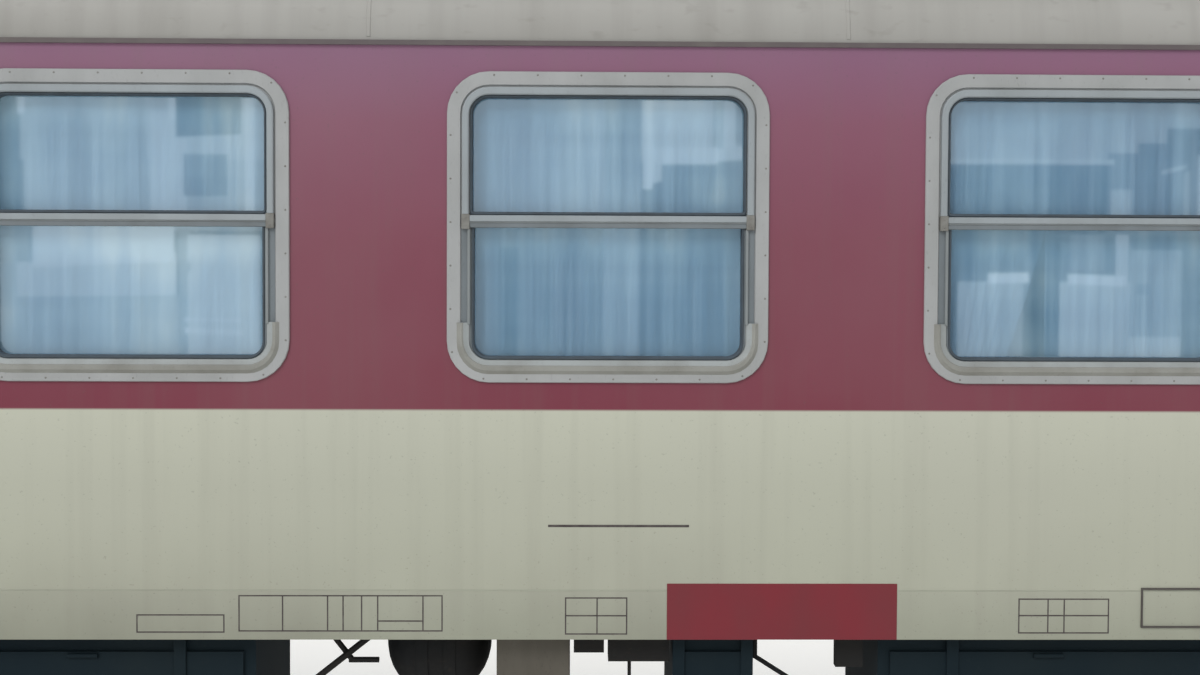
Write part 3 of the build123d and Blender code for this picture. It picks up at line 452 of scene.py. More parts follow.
# %% [markdown]
# ## The coach's main measures
# These are the numbers that several pieces share.

# %% Measures
SIDE = 1.4125
INNER = 1.3425
EAVE = 3.033
CROWN = 4.078
BODY_END = 12.1
COMPARTMENT = 1.57
# e is an end's sign along X, and s is a side's sign along Y
ENDS = {"front": -1, "rear": 1}
SIDES = {"left": -1, "right": 1}
CORNERS = [(e, s) for e in ENDS.values() for s in SIDES.values()]
AS_IT_IS = Matrix.Identity(4)
TURNED_ROUND = Matrix.Rotation(math.pi, 4, "Z")
window_places = {"left": [COMPARTMENT * n for n in range(-5, 6)], "right": [2.093 * n for n in range(-4, 5)]}
print("large windows:", {side: len(places) for side, places in window_places.items()})

# %% [markdown]
# ## The painted sides
# The side is one flat sheet in three bands: a cream field below, a dark red band that the windows sit in,
# and the grey eave above. The paint is decades old and dull. Towards the top the red turns paler and a little
# violet, and the cream is greenish and paler under the band: partly faded paint and partly a painted
# reflection of the pale sky. Lower down the cream darkens, and it is dirtier at the foot.
# A ramp over the height gives the bands with a sharp line between them, and noises drawn out downwards
# give the streaks of rain.

# %% Livery
BAND = 1.8421
SEAM = 1.242
# Two-tone paint with painted light in it: the red paler and more violet upwards and the cream lighter towards
# the band are partly a painted reflection of the sky.
LIVERY_WITH_PAINTED_SHEEN = [
    # height over the floor, screen colour
    (1.078, (152, 155, 139)),
    (1.238, (163, 165, 150)),
    (1.246, (169, 171, 155)),
    (1.600, (174, 176, 161)),
    (BAND - 0.0006, (183, 185, 170)),
    (BAND + 0.0006, (115, 47, 63)),
    (2.400, (121, 64, 80)),
    (2.780, (127, 77, 97)),
    (3.033, (129, 90, 116)),
]
RAMP_FROM, RAMP_TO = 1.07, 3.05


def livery_finish(name, dirt):
    """The side's paint. dirt is how strongly the streaks and the grime at the foot show."""
    made = Finish(name, roughness=0.42, Specular_IOR_Level=0.35)
    stops = [((z - RAMP_FROM) / (RAMP_TO - RAMP_FROM), colour) for z, colour in LIVERY_WITH_PAINTED_SHEEN]
    field = made.ramp(made.span(made.axis(2), RAMP_FROM, RAMP_TO), stops)
    cloud = made.span(made.noise(1.3, 5), 0.3, 0.7, 0, 0.07)
    field = made.mix(cloud, field, (160, 156, 156))
    streak = made.span(made.noise(1.0, 6, (20, 4, 0.7)), 0.5, 0.85, 0, 0.16 * dirt)
    field = made.mix(streak, field, (112, 106, 98))
    foot = made.span(made.axis(2), 1.5, 1.09, 0, 0.42 * dirt)
    grime = made.math("MULTIPLY", foot, made.span(made.noise(2.2, 6, (1, 1, 0.6)), 0.35, 0.75))
    field = made.mix(grime, field, (92, 88, 78))
    fleck = made.span(made.noise(110, 1), 0.70, 0.78, 0, 0.28 * dirt)
    made.set("Base Color", made.mix(fleck, field, (88, 84, 78)))
    made.set("Roughness", made.span(made.noise(3, 4), 0.3, 0.7, 0.36, 0.56))
    waves = made.math("ADD", made.noise(1.1, 2), made.math("MULTIPLY", made.noise(60, 3), 0.05))
    made.bump(waves, 0.18, 0.006)
    return made


side_paint = livery_finish("side_paint", 0.8)
end_paint = livery_finish("end_paint", 1.5)
dress("side_wall_left", side_paint)
dress("side_wall_right", side_paint)
dress("end_walls", end_paint)
print("livery in", len(LIVERY_WITH_PAINTED_SHEEN), "steps of height")

# %% [markdown]
# ## Plain finishes of the rest
# Below the floor everything is black paint under brown brake dust. The dust lies thicker on what faces up,
# but noises alone read well enough from here. The specular level is low, because dust kills the shine that
# fresh paint would have, and the strip must stay dark beside the bright gaps.

# %% Metals and rubber
DRAWN_OUT = (1, 1, 0.5)
RUN_DOWN = (1, 1, 0.4)
casing_metal = Finish("casing_metal", (160, 162, 163), 0.46).worn((116, 119, 116), 0.38, 6, DRAWN_OUT)
casing_metal.grain(220, 2, 0.08, 0.0006)
# The moulding, and the rail's bar that shares its metal, is a little darker than the flange: painted shade of
# its rounded face.
moulding_metal_shaded = Finish("moulding_metal_shaded", (148, 156, 161), 0.44).worn((112, 116, 116), 0.38, 6, DRAWN_OUT)
moulding_metal_shaded.grain(220, 2, 0.08, 0.0006)
# The guide channels are darker, partly grime run down into them and partly painted shade of the recess. The
# floors of the channels, the sash edges and the strip under the rail are darker still: painted shade.
channel_metal_shaded = Finish("channel_metal_shaded", (129, 135, 137), 0.55).worn((86, 90, 88), 0.4, 9, RUN_DOWN)
groove_metal_shaded = Finish("groove_metal_shaded", (111, 119, 124), 0.6).worn((80, 84, 84), 0.5, 9, RUN_DOWN)
tray_metal = Finish("tray_metal", (150, 156, 157), 0.5).worn((102, 100, 93), 0.5, 8)
# The tray's lip, whose outer slope looks down, is darker than the tray: painted shade.
tray_lip_shaded = Finish("tray_lip_shaded", (141, 142, 137), 0.5).worn((98, 96, 88), 0.55, 8)
pale_metal = Finish("pale_metal", (160, 162, 162), 0.36).worn((96, 92, 84), 0.35, 12)
worn_brass = Finish("worn_brass", (124, 124, 120), 0.5).worn((84, 80, 74), 0.6, 40)
rubber = Finish("rubber", (64, 75, 84), 0.7).worn((42, 46, 50), 0.5, 14)
gangway_rubber = Finish("gangway_rubber", (38, 38, 39), 0.62).worn((78, 74, 66), 0.45, 5)
gangway_rubber.grain(90, 3, 0.3, 0.002)
steel = Finish("bare_steel", (140, 137, 132), 0.42, 0.75).worn((84, 68, 54), 0.55, 9)
rust = Finish("rust", (92, 62, 44), 0.85).worn((48, 36, 30), 0.7, 14).grain(160, 4, 0.4, 0.0015)
print("metals and rubber ready")

# %% Paints, wood and lining
under_paint = Finish("under_paint", (20, 24, 27), 0.8, Specular_IOR_Level=0.25)
under_paint.worn((54, 46, 38), 0.45, 2.6).grain(70, 4, 0.25, 0.0015)
case_paint = Finish("case_paint", (8, 26, 34), 0.75, Specular_IOR_Level=0.2)
case_paint.worn((28, 38, 40), 0.4, 3.2, DRAWN_OUT).grain(50, 4, 0.2, 0.0012)
duct_paint = Finish("duct_paint", (92, 88, 80), 0.7, Specular_IOR_Level=0.3)
duct_paint.worn((54, 48, 40), 0.6, 6, RUN_DOWN)
door_paint = Finish("door_paint", (130, 134, 134), 0.45).worn((92, 90, 82), 0.4, 4, RUN_DOWN)
panel_white = Finish("panel_white", (208, 207, 198), 0.55).worn((176, 170, 154), 0.3, 2)
lining = Finish("floor_covering", (92, 78, 66), 0.7).worn((54, 48, 42), 0.5, 8).grain(240, 2, 0.2, 0.0008)
wood = Finish("wood_panel", roughness=0.4)
board_grain = wood.span(wood.noise(3.5, 5, (9, 9, 0.5)), 0.3, 0.7)
wood.set("Base Color", wood.mix(board_grain, (104, 66, 40), (150, 104, 66)))
print("paints, wood and lining ready")

# %% [markdown]
# The roof is grey paint too, but it shows close up at the eave: the gutter's face is dark, partly grime
# and partly a painted shadow line under the gutter, a paler strip lies above it, and streaks of rain run
# down from the crown. Each is one more mix over the height.

# %% Roof paint
GUTTER_LINE = 3.0495
roof_paint = Finish("roof_paint", (150, 150, 144), 0.62)
height = roof_paint.axis(2)
eave_tone = roof_paint.mix(roof_paint.span(height, 3.05, 3.16), (149, 148, 144), (160, 159, 155))
roof_tone = roof_paint.mix(roof_paint.span(height, 3.16, 3.9), eave_tone, (138, 138, 132))
# Below this line, on the gutter's face, the colour is dark: grime and a painted shadow line.
clear_of_gutter_shadow = roof_paint.span(height, GUTTER_LINE - 0.0003, GUTTER_LINE + 0.0003)
roof_tone = roof_paint.mix(clear_of_gutter_shadow, (86, 78, 80), roof_tone)
rain = roof_paint.span(roof_paint.noise(1.0, 6, (11, 2, 1)), 0.45, 0.8, 0, 0.3)
rained_on = roof_paint.mix(rain, roof_tone, (112, 110, 104))
roof_paint.worn((104, 101, 92), 0.4, 1.2, (0.5, 1, 1), over=rained_on).grain(1.6, 3, 0.15, 0.006)
print("roof paint ready")

# %% [markdown]
# The wheels are one casting and shine only where they roll. The finish reads the distance from the axle, so
# each wheelset has its own copy of the material with its own centre in it.

# %% Wheel steel
AXLE_HEIGHT = 0.488


def wheel_finish(name, centre_x):
    """Rolled steel that is bright on the tread and the flange, and dusty brown inwards."""
    made = Finish(name, (92, 78, 66), 0.7, 0.4)
    across = made.math("SUBTRACT", made.axis(0), centre_x)
    upward = made.math("SUBTRACT", made.axis(2), AXLE_HEIGHT)
    square = made.math("ADD", made.math("MULTIPLY", across, across), made.math("MULTIPLY", upward, upward))
    radius = made.math("SQRT", square)
    bright = made.span(radius, 0.446, 0.454)
    dusty = made.mix(made.span(made.noise(9, 6), 0.3, 0.7), (58, 48, 40), (98, 78, 60))
    shiny = made.mix(made.span(made.noise(30, 3), 0.3, 0.8), (178, 178, 176), (128, 120, 110))
    made.set("Base Color", made.mix(bright, dusty, shiny))
    made.set("Metallic", bright)
    made.set("Roughness", made.span(bright, 0, 1, 0.8, 0.28))
    return made


WHEELSETS = [
    # end, number, centre
    ("front", 1, -9.9),
    ("front", 2, -7.3),
    ("rear", 1, 7.3),
    ("rear", 2, 9.9),
]
wheel_steel = {}
for end, number, centre in WHEELSETS:
    wheel_steel[centre] = wheel_finish(f"wheel_steel_{end}_{number}", centre)
    dress(f"axle_{end}_{number}", rust)
print("four wheelsets with bright treads")

# %% [markdown]
# Most of what hangs below the floor keeps its CAD shape: cases, frames, bolsters, brake gear. A plain solid
# has edges sharper than any welded plate, so a small bevel catches light along them.

# %% CAD nodes that stay
FINISH_OF = {
    "roof": roof_paint,
    "floor": lining,
    "ceiling": panel_white,
    "corridor_wall": wood,
    "partitions": wood,
    "vestibule_walls": wood,
    "underframe": under_paint,
    "draw_gear": under_paint,
    "bridge_plates": steel,
    "entrance_steps": under_paint,
    "side_duct": duct_paint,
    "battery_boxes": case_paint,
    "equipment_cases": case_paint,
    "brake_rigging": under_paint,
    "pipework": under_paint,
}
EASED = {
    "draw_gear": 0.004,
    "entrance_steps": 0.002,
    "side_duct": 0.005,
    "battery_boxes": 0.005,
    "equipment_cases": 0.005,
}
for end in ENDS:
    for part in ("bogie_frame", "axle_boxes", "bolster", "spring_plank"):
        FINISH_OF[f"{part}_{end}"] = under_paint
    FINISH_OF[f"brake_blocks_{end}"] = rust
    for part, width in (("bogie_frame", 0.006), ("axle_boxes", 0.004), ("bolster", 0.006)):
        EASED[f"{part}_{end}"] = width
for node, finish in FINISH_OF.items():
    dress(node, finish)
for node, width in EASED.items():
    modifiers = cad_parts[node].modifiers
    weld = modifiers.new("one skin", "WELD")
    weld.merge_threshold = 0.0002
    rim = modifiers.new("eased edges", "BEVEL")
    rim.width = width
    rim.segments = 2
    rim.angle_limit = math.radians(40)
print(len(FINISH_OF), "nodes keep their CAD shape")
# %% [markdown]
# ## Half-drop windows
# Each window is two sashes in a broad casing of pressed light metal. It has a flat flange on the wall, a
# groove, and a raised moulding that runs round the upper sash. Below the meeting rail the upper sash can
# slide down, so the sides there are open guide channels, and a sloping tray closes them at the foot. One
# solid with rounded edges would miss all that. Each run is a skin between copies of a rounded rectangle, one
# for every corner of its cross-section, so the profile stays true round the bends.

# %% Runs of the casing
CASING = (1.056, 1.018, 0.137)
WINDOW_Z = 2.440


def rectangle_run(x0, x1, z0, z1, top, foot, steps=7):
    """Points (x, z) round a rectangle whose upper corners have one radius and whose lower ones another."""
    corners = [(x1, z1, top, 0), (x0, z1, top, 90), (x0, z0, foot, 180), (x1, z0, foot, 270)]
    made = []
    for x, z, radius, start in corners:
        radius = max(radius, 0.001)
        cx = x - radius if x == x1 else x + radius
        cz = z - radius if z == z1 else z + radius
        for n in range(steps + 1):
            turn = math.radians(start + 90 * n / steps)
            made.append((cx + radius * math.cos(turn), cz + radius * math.sin(turn)))
    return made


def arch_run(half, foot, top, radius, steps=7):
    """Points (x, z) up one side, round the top and down the other. Turned over where top is below foot."""
    way = 1 if top > foot else -1
    radius = max(radius, 0.001)
    made = [(half, foot)]
    for side, start in ((1, 0), (-1, 90)):
        for n in range(steps + 1):
            turn = math.radians(start + 90 * n / steps)
            x = side * (half - radius) + radius * math.cos(turn)
            made.append((x, top + way * radius * (math.sin(turn) - 1)))
    return made + [(-half, foot)]


def wall_ring(run, proud):
    """A run of (x, z) points as a ring on the photographed side, proud of the wall by so much."""
    return [(x, -(SIDE + proud), z) for x, z in run]


def inset_ring(half_w, half_h, inset, radius, proud):
    """A ring inside a rectangle about x and z = 0, by so much inset and with all corners alike."""
    run = rectangle_run(-half_w + inset, half_w - inset, -half_h + inset, half_h - inset, radius, radius)
    return wall_ring(run, proud)


print("casing", CASING[:2], "at height", WINDOW_Z)

# %% [markdown]
# Each profile lists how far in from the casing's outer edge a corner lies and how far it stands proud of the
# wall. They were read off the photograph's grey levels: light faces look up or outwards, dark ones are
# grooves or faces that look down.

# %% Profiles of the casing
FLANGE = [
    # inset, proud
    (0.0000, 0.0000),
    (0.0000, 0.0065),
    (0.0025, 0.0090),
    (0.0430, 0.0090),
    (0.0455, 0.0060),
    (0.0462, 0.0020),
    (0.0755, 0.0020),
    (0.0755, -0.0290),
    (0.0575, -0.0290),
    (0.0575, 0.0000),
]
MOULDING = [
    # inset at the sides, inset at the top, proud
    (0.0500, 0.0515, 0.0020),
    (0.0500, 0.0515, 0.0140),
    (0.0535, 0.0550, 0.0170),
    (0.0680, 0.0725, 0.0170),
    (0.0715, 0.0760, 0.0140),
    (0.0725, 0.0768, 0.0020),
]
TRAY = [
    # inset at the sides, inset at the foot, proud
    (0.0325, 0.0275, 0.0088),
    (0.0440, 0.0400, 0.0172),
    (0.0500, 0.0540, 0.0172),
    (0.0545, 0.0575, 0.0130),
    (0.0725, 0.0735, 0.0085),
    (0.0740, 0.0750, 0.0018),
    (0.0325, 0.0275, 0.0018),
]
BEAD = [
    # inset, proud
    (0.000, -0.0290),
    (0.000, 0.0050),
    (0.002, 0.0075),
    (0.006, 0.0070),
    (0.008, 0.0030),
    (0.008, -0.0290),
]
SASH_EDGE = [
    # inset at the sides, inset at the foot, proud
    (0.0750, 0.0735, -0.0290),
    (0.0750, 0.0735, 0.0020),
    (0.0815, 0.0755, 0.0020),
    (0.0815, 0.0755, -0.0290),
]
# The strips under the rail's light bar have darker finishes: painted shade below the rounded bar.
RAIL_STRIPS = [
    # low, high over the window's centre, proud, finish
    (0.0410, 0.0480, 0.0050, 2),
    (0.0190, 0.0402, 0.0150, 5),
    (0.0145, 0.0195, 0.0130, 1),
    (-0.0010, 0.0150, 0.0120, 6),
]
print("profiles of the flange, moulding, tray, bead, sash and rail")

# %% One casing
SCREW_PITCH = 0.144
GUIDE_FOOT = -0.318
width, height, corner = CASING
half_w, half_h = width / 2, height / 2


def glazing_rubber(shell, x, z0, z1, top, foot, sunk=0.0):
    """A dark rubber bead round a sash's glass."""
    rings = []
    for inset, proud in BEAD:
        run = rectangle_run(-x + inset, x - inset, z0 + inset * 1.3, z1 - inset, top - inset, foot - inset)
        rings.append(wall_ring(run, proud - sunk))
    shell.skin(rings, 2, closed=True)


def screws_along(path, pitch):
    """Places at even steps of about pitch along a closed path."""
    around = [path[-1], *path]
    gone = sum(math.dist(a, b) for a, b in zip(around, path))
    step, carried, last = gone / round(gone / pitch), 0.0, path[-1]
    places = []
    for point in path:
        rest = math.dist(last, point)
        while carried + rest >= step:
            share = (step - carried) / rest
            last = (last[0] + (point[0] - last[0]) * share, last[1] + (point[1] - last[1]) * share)
            rest = math.dist(last, point)
            carried = 0.0
            places.append(last)
        carried += rest
        last = point
    return places


def half_drop_casing():
    """One large casing about x and z = 0. Its finishes are those of casing_finishes, by number."""
    shell = Shell()
    flange = [inset_ring(half_w, half_h, inset, max(corner - inset, 0.06), proud) for inset, proud in FLANGE]
    shell.skin(flange, 0, closed=True)
    rings = []
    for at_side, at_top, proud in MOULDING:
        rings.append(wall_ring(arch_run(half_w - at_side, 0.044, half_h - at_top, corner - at_side), proud))
    shell.skin(rings, 5, loop=False, closed=True, ends=True)
    rings = []
    for at_side, at_foot, proud in SASH_EDGE:
        run = rectangle_run(-half_w + at_side, half_w - at_side, -half_h + at_foot, 0.0, 0.010, 0.058)
        rings.append(wall_ring(run, proud))
    shell.skin(rings, 6, closed=True)
    rings = []
    for at_side, at_foot, proud in TRAY:
        run = arch_run(half_w - at_side, -0.312, -half_h + at_foot, corner - at_side)
        rings.append(wall_ring(run, proud))
    first = len(shell.faces)
    shell.skin(rings, 3, loop=False, closed=True, ends=True)
    # The tray's first bands, its lip, take the darker finish as painted shade.
    for n in range(first, first + 3 * (len(rings[0]) - 1)):
        shell.finishes[n] = 7
    for side in (-1, 1):
        lip = (side * (half_w - 0.0675), side * (half_w - 0.0765))
        shell.block(lip, (-SIDE + 0.002, -SIDE - 0.0120), (GUIDE_FOOT, -0.004), 1, 0.0015)
        channel = (side * (half_w - 0.0470), side * (half_w - 0.0680))
        shell.block(channel, (-SIDE, -SIDE - 0.0032), (GUIDE_FOOT, -0.004), 6)
        plate = (side * (half_w - 0.0480), side * (half_w - 0.0750))
        shell.block(plate, (-SIDE, -SIDE - 0.0172), (-0.006, 0.0445), 4, 0.002)
        for z in (0.006, 0.033):
            screw = (side * (half_w - 0.0615), -SIDE - 0.0168, z)
            shell.turned([(0.0042, 0), (0.0042, 0.0008), (0.003, 0.0014)], screw, (0, -1, 0), 10, 4)
    reach = half_w - 0.0735
    for low, high, proud, finish in RAIL_STRIPS:
        shell.block((-reach, reach), (-SIDE + 0.028, -SIDE - proud), (low, high), finish, 0.0018)
    glazing_rubber(shell, half_w - 0.0745, 0.041, half_h - 0.0768, 0.062, 0.014)
    glazing_rubber(shell, half_w - 0.0810, -half_h + 0.0755, 0.010, 0.010, 0.055, 0.002)
    path = rectangle_run(-half_w + 0.012, half_w - 0.012, -half_h + 0.012, half_h - 0.012, 0.125, 0.125, 12)
    head = [(0.0036, 0), (0.0034, 0.0006), (0.0022, 0.0012)]
    for x, z in screws_along(path, SCREW_PITCH):
        shell.turned(head, (x, -SIDE - 0.0088, z), (0, -1, 0), 8, 4)
    return shell


one_casing = half_drop_casing()
print("one casing has", len(one_casing.faces), "faces")

# %% [markdown]
# The lavatory windows at the two ends are smaller, fixed and frosted: the same flange and bead all round.

# %% Small casing
SMALL = (0.640, 0.700, 0.105)
SMALL_Z = 2.595
SMALL_X = 9.7


def small_casing():
    """One small casing, with the flange and a narrow moulding round a single rubber bead."""
    shell = Shell()
    w, h, radius = SMALL[0] / 2, SMALL[1] / 2, SMALL[2]
    flange = [(min(inset, 0.065), proud) for inset, proud in FLANGE]
    moulding = [(0.044, 0.002), (0.044, 0.013), (0.047, 0.016), (0.058, 0.016), (0.061, 0.002)]
    for profile in (flange, moulding):
        rings = [inset_ring(w, h, inset, max(radius - inset, 0.045), proud) for inset, proud in profile]
        shell.skin(rings, 0, closed=True)
    glazing_rubber(shell, w - 0.062, -h + 0.062, h - 0.062, 0.05, 0.05)
    return shell


casing_finishes = [casing_metal, channel_metal_shaded, rubber, tray_metal, worn_brass, moulding_metal_shaded]
casing_finishes += [groove_metal_shaded, tray_lip_shaded]
for side, facing in (("left", AS_IT_IS), ("right", TURNED_ROUND)):
    places = [Matrix.Translation((x, 0, WINDOW_Z)) @ facing for x in window_places[side]]
    frames = one_casing.copies(*places)
    if side == "left":
        for x in (-SMALL_X, SMALL_X):
            frames.add(small_casing(), Matrix.Translation((x, 0, SMALL_Z)))
    piece(f"casing_frames_{side}", frames, casing_finishes, [f"window_casings_{side}"])
    print(side, "casings:", len(frames.faces), "faces")

# %% [markdown]
# ## Glass
# The panes mirror a hazy sky, and the curtains behind them look pale blue. Real refraction would keep the
# sun off the cloth behind, so the pane is two partly clear skins instead. The outer one is a faint mirror.
# The inner one carries a pale blue haze, partly the dust of old panes and partly a painted reflection of
# the sky: its light patches and streaks, and a lighter band along the top of each pane.

# %% Panes
HAZE_AND_REFLECTION_TONES = [
    # share, screen colour
    (0.0, (124, 171, 205)),
    (0.4, (146, 192, 222)),
    (0.7, (170, 212, 237)),
    (1.0, (204, 236, 250)),
]


def haze_and_reflection_finish(name, start, change, top):
    """The inner skin of a pane: dust haze with a painted reflection of the sky. start is a place in the
    noise.
    change steps the tone between two windows. top is the pane's top, under which a painted band of reflection
    lies.
    """
    made = Finish(name, roughness=0.7, Specular_IOR_Level=0.0)
    moved = made.node("ShaderNodeVectorMath", {0: made.place, 1: start}, operation="ADD").outputs[0]
    made.place, here = moved, made.place
    patch = made.noise(1.0, 3, (2.4, 1, 1.5))
    streak = made.noise(1.0, 2, (13, 1, 0.5))
    level = made.noise(1.0, 2, (0.7, 1, 6))
    made.place = here
    tone = made.math("ADD", made.math("MULTIPLY", patch, 0.9), made.math("MULTIPLY", streak, 0.55))
    tone = made.math("ADD", tone, made.math("MULTIPLY", level, 0.35))
    tone = made.span(tone, 0.62, 1.18)
    at, before, after = change
    tone = made.math("ADD", tone, made.span(made.axis(0), at - 0.06, at + 0.06, before, after))
    # Painted reflection of the sky: near its top the pane grows lighter and less clear.
    rim = made.span(made.axis(2), top - 0.13, top - 0.02, 0, 0.16)
    tone = made.math("ADD", tone, rim)
    made.set("Base Color", made.ramp(tone, HAZE_AND_REFLECTION_TONES))
    made.set("Alpha", made.math("ADD", made.span(tone, 0, 1, 0.51, 0.60), rim))
    return made


haze = haze_and_reflection_finish("glass_haze", (0, 0, 0), (0.79, 0.02, -0.22), WINDOW_Z + 0.43)
haze_low = haze_and_reflection_finish("glass_haze_low", (7.3, 0, 3.1), (-0.79, 0.12, -0.03), WINDOW_Z)
clear = Finish("glass_clear", (190, 206, 214), 0.05, Alpha=0.03)
shine = Finish("glass_shine", (232, 240, 246), 0.028, 1.0, Alpha=0.25)
frosted = Finish("frosted_pane", (178, 192, 194), 0.5, Alpha=0.82).worn((142, 156, 160), 0.3, 3)
frosted.grain(160, 3, 0.35, 0.0015)


def pane(shell, outline, outer, inner, finishes):
    """A pane from an outline of (x, z) points and two y. finishes: numbers of its shine, haze and edges."""
    start = len(shell.faces) + len(outline)
    shell.skin([[(x, y, z) for x, z in outline] for y in (outer, inner)], finishes[2], caps=True)
    shell.finishes[start], shell.finishes[start + 1] = finishes[:2]


GLASS_OUT, GLASS_IN, GLASS_HALF = SIDE - 0.030, SIDE - 0.038, 0.4705
panes = Shell()
for side, s in SIDES.items():
    for x in window_places[side]:
        for foot, top, hazed in ((-0.4525, 0.019, 1), (0.021, 0.4525, 0)):
            z0, z1 = WINDOW_Z + foot, WINDOW_Z + top
            outline = rectangle_run(x - GLASS_HALF, x + GLASS_HALF, z0, z1, 0.001, 0.001, 1)
            pane(panes, outline, s * GLASS_OUT, s * GLASS_IN, (3, hazed, 2))
piece("window_panes", panes, [haze, haze_low, clear, shine], ["window_glass"])
dress("frosted_glass", frosted)
print("panes:", 2 * sum(len(p) for p in window_places.values()))

# %% [markdown]
# ## Curtains
# Every compartment has its two net curtains drawn, and the corridor's are tied back. A pair is cut about a
# third wider than its window and gathered on a rail, so it hangs in folds that are tight at the top and open
# out lower down. No two are alike. A cloth simulation would spend its time on folds that gravity and the
# rail already fix, so each curtain is one sheet whose folds are drawn by sines of uneven width.

# %% Curtain cloth
net = Finish("net_cloth", (168, 198, 222), 0.85, Sheen_Weight=0.25)
# Light and dark vertical streaks in the cloth's colour are painted highlight and shade of folds.
painted_fold_shading = net.mix(net.span(net.noise(1.0, 3, (46, 1, 0.9)), 0.36, 0.64), (104, 142, 174), (190, 218, 238))
net.worn((132, 168, 196), 0.3, 3, (3, 1, 0.6), over=painted_fold_shading)
threads = net.math("ADD", net.noise(420, 1, (1, 1, 0.15)), net.noise(420, 1, (0.15, 0.15, 1)))
net.bump(threads, 0.12, 0.0004)
CURTAIN_TOP, CURTAIN_FOOT = 2.913, 1.968
CURTAIN_MIDDLE = INNER - 0.023


def curtain(name, s, x_gathered, x_open, seed, folds, tied, behind, pulled):
    """A curtain from its fixed edge to its free one, and its flat width. s is the side of the coach, behind
    is how far it hangs behind the rail, and pulled is how far its lower free corner is drawn back."""
    chance = random.Random(seed)
    columns, rows = folds * 10, 26
    widths = [chance.uniform(0.7, 1.35) for _ in range(folds)]
    phase, total = [0.0], sum(widths)
    for column in range(columns):
        share = (column + 0.5) / columns
        fold = 0
        while fold < folds - 1 and sum(widths[: fold + 1]) / total < share:
            fold += 1
        phase.append(phase[-1] + 2 * math.pi / 10 * (total / folds) / widths[fold])
    depth = [chance.uniform(0.55, 1.0) for _ in range(folds + 2)]
    lean = chance.uniform(-0.012, 0.012)
    wander = chance.uniform(0, 6)
    rings = []
    for row in range(rows + 1):
        down = row / rows
        z = CURTAIN_TOP + (CURTAIN_FOOT - CURTAIN_TOP) * down
        ring = []
        for column in range(columns + 1):
            share = column / columns
            x = x_gathered + (x_open - x_gathered) * share
            x += lean * down * share * (1 if x_open > x_gathered else -1)
            x += pulled * max(0.0, (down - 0.42) / 0.58) ** 1.2 * share
            if tied:
                waist = 0.55 * math.exp(-(((down - 0.56) / 0.17) ** 2)) + 0.12 * down
                x = x_gathered + (x - x_gathered) * (1 - waist)
            angle = phase[column] + 0.5 * math.sin(3.1 * down + wander + 4 * share)
            reach = (0.0055 + 0.0065 * min(1, down * 1.6)) * depth[int(share * folds)]
            y = reach * math.sin(angle) + 0.0012 * math.sin(2.3 * angle + 5 * down)
            y = y * (1 - 0.6 * share**6) - behind
            ring.append((x + 0.004 * math.cos(angle) * down, s * (CURTAIN_MIDDLE - y), z))
        rings.append(ring)
    measured = rings[2 if tied else rows // 2]
    flat = sum(math.dist(a, b) for a, b in zip(measured, measured[1:]))
    shell = Shell()
    shell.skin(rings, 0, loop=False)
    return piece(name, shell, [net], cloth=True), flat


print("net cloth from", CURTAIN_FOOT, "to", CURTAIN_TOP)

# %% Curtains and their rails
CURTAIN_REACH = 0.4975
ROSE = [(0.010, 0), (0.010, 0.004), (0.005, 0.006), (0.005, 0.026)]
# window: where its pair meets, from the window's middle. The others meet at random.
MEETINGS = {4: 0.006, 5: -0.044, 6: -0.085}
# (window, hand): how far the lower free corner is drawn back
DRAWN_BACK = {(6, -1): -0.15}
for side, s in SIDES.items():
    made = []
    drawn = side == "left"
    for number, x in enumerate(window_places[side]):
        meet = x + random.Random(number).uniform(-0.03, 0.03)
        if drawn and number in MEETINGS:
            meet = x + MEETINGS[number]
        for hand, letter in ((-1, "a"), (1, "b")):
            edge = x + hand * CURTAIN_REACH
            open_to = meet - hand * (0.012 if hand > 0 else 0.004) if drawn else edge - hand * 0.175
            seed = 100 * number + 10 * hand + 3 * s
            label = f"curtain_{side}_{number}_{letter}"
            pulled = DRAWN_BACK.get((number, hand), 0.0) if drawn else 0.0
            folds = 9 if drawn else 6
            made.append(curtain(label, s, edge, open_to, seed, folds, not drawn, -hand * 0.0025, pulled))
    rails = Shell()
    for x in window_places[side]:
        ends = [(x + way * 0.51, s * CURTAIN_MIDDLE, CURTAIN_TOP) for way in (-1, 1)]
        rails.tube(ends, 0.006, 10)
        for end_x, _, z in ends:
            rails.turned(ROSE, (end_x, s * (INNER + 0.001), z), (0, -s, 0), 12)
    piece(f"curtain_rails_{side}", rails, [pale_metal])
    for cloth, flat in made:
        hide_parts(f"curtains_{side}")
    cuts = [flat for _, flat in made]
    print(side, "curtains:", len(cuts), "cut", round(min(cuts), 3), "to", round(max(cuts), 3))

# %% [markdown]
# ## Painted panels along the foot
# The side carries small ruled boxes along its lower edge, one red field and one thin rule. Here they stay
# blank. An image would be the usual way to paint them. They are few straight lines, though, so each one is
# a slip of paint half a millimetre thick.

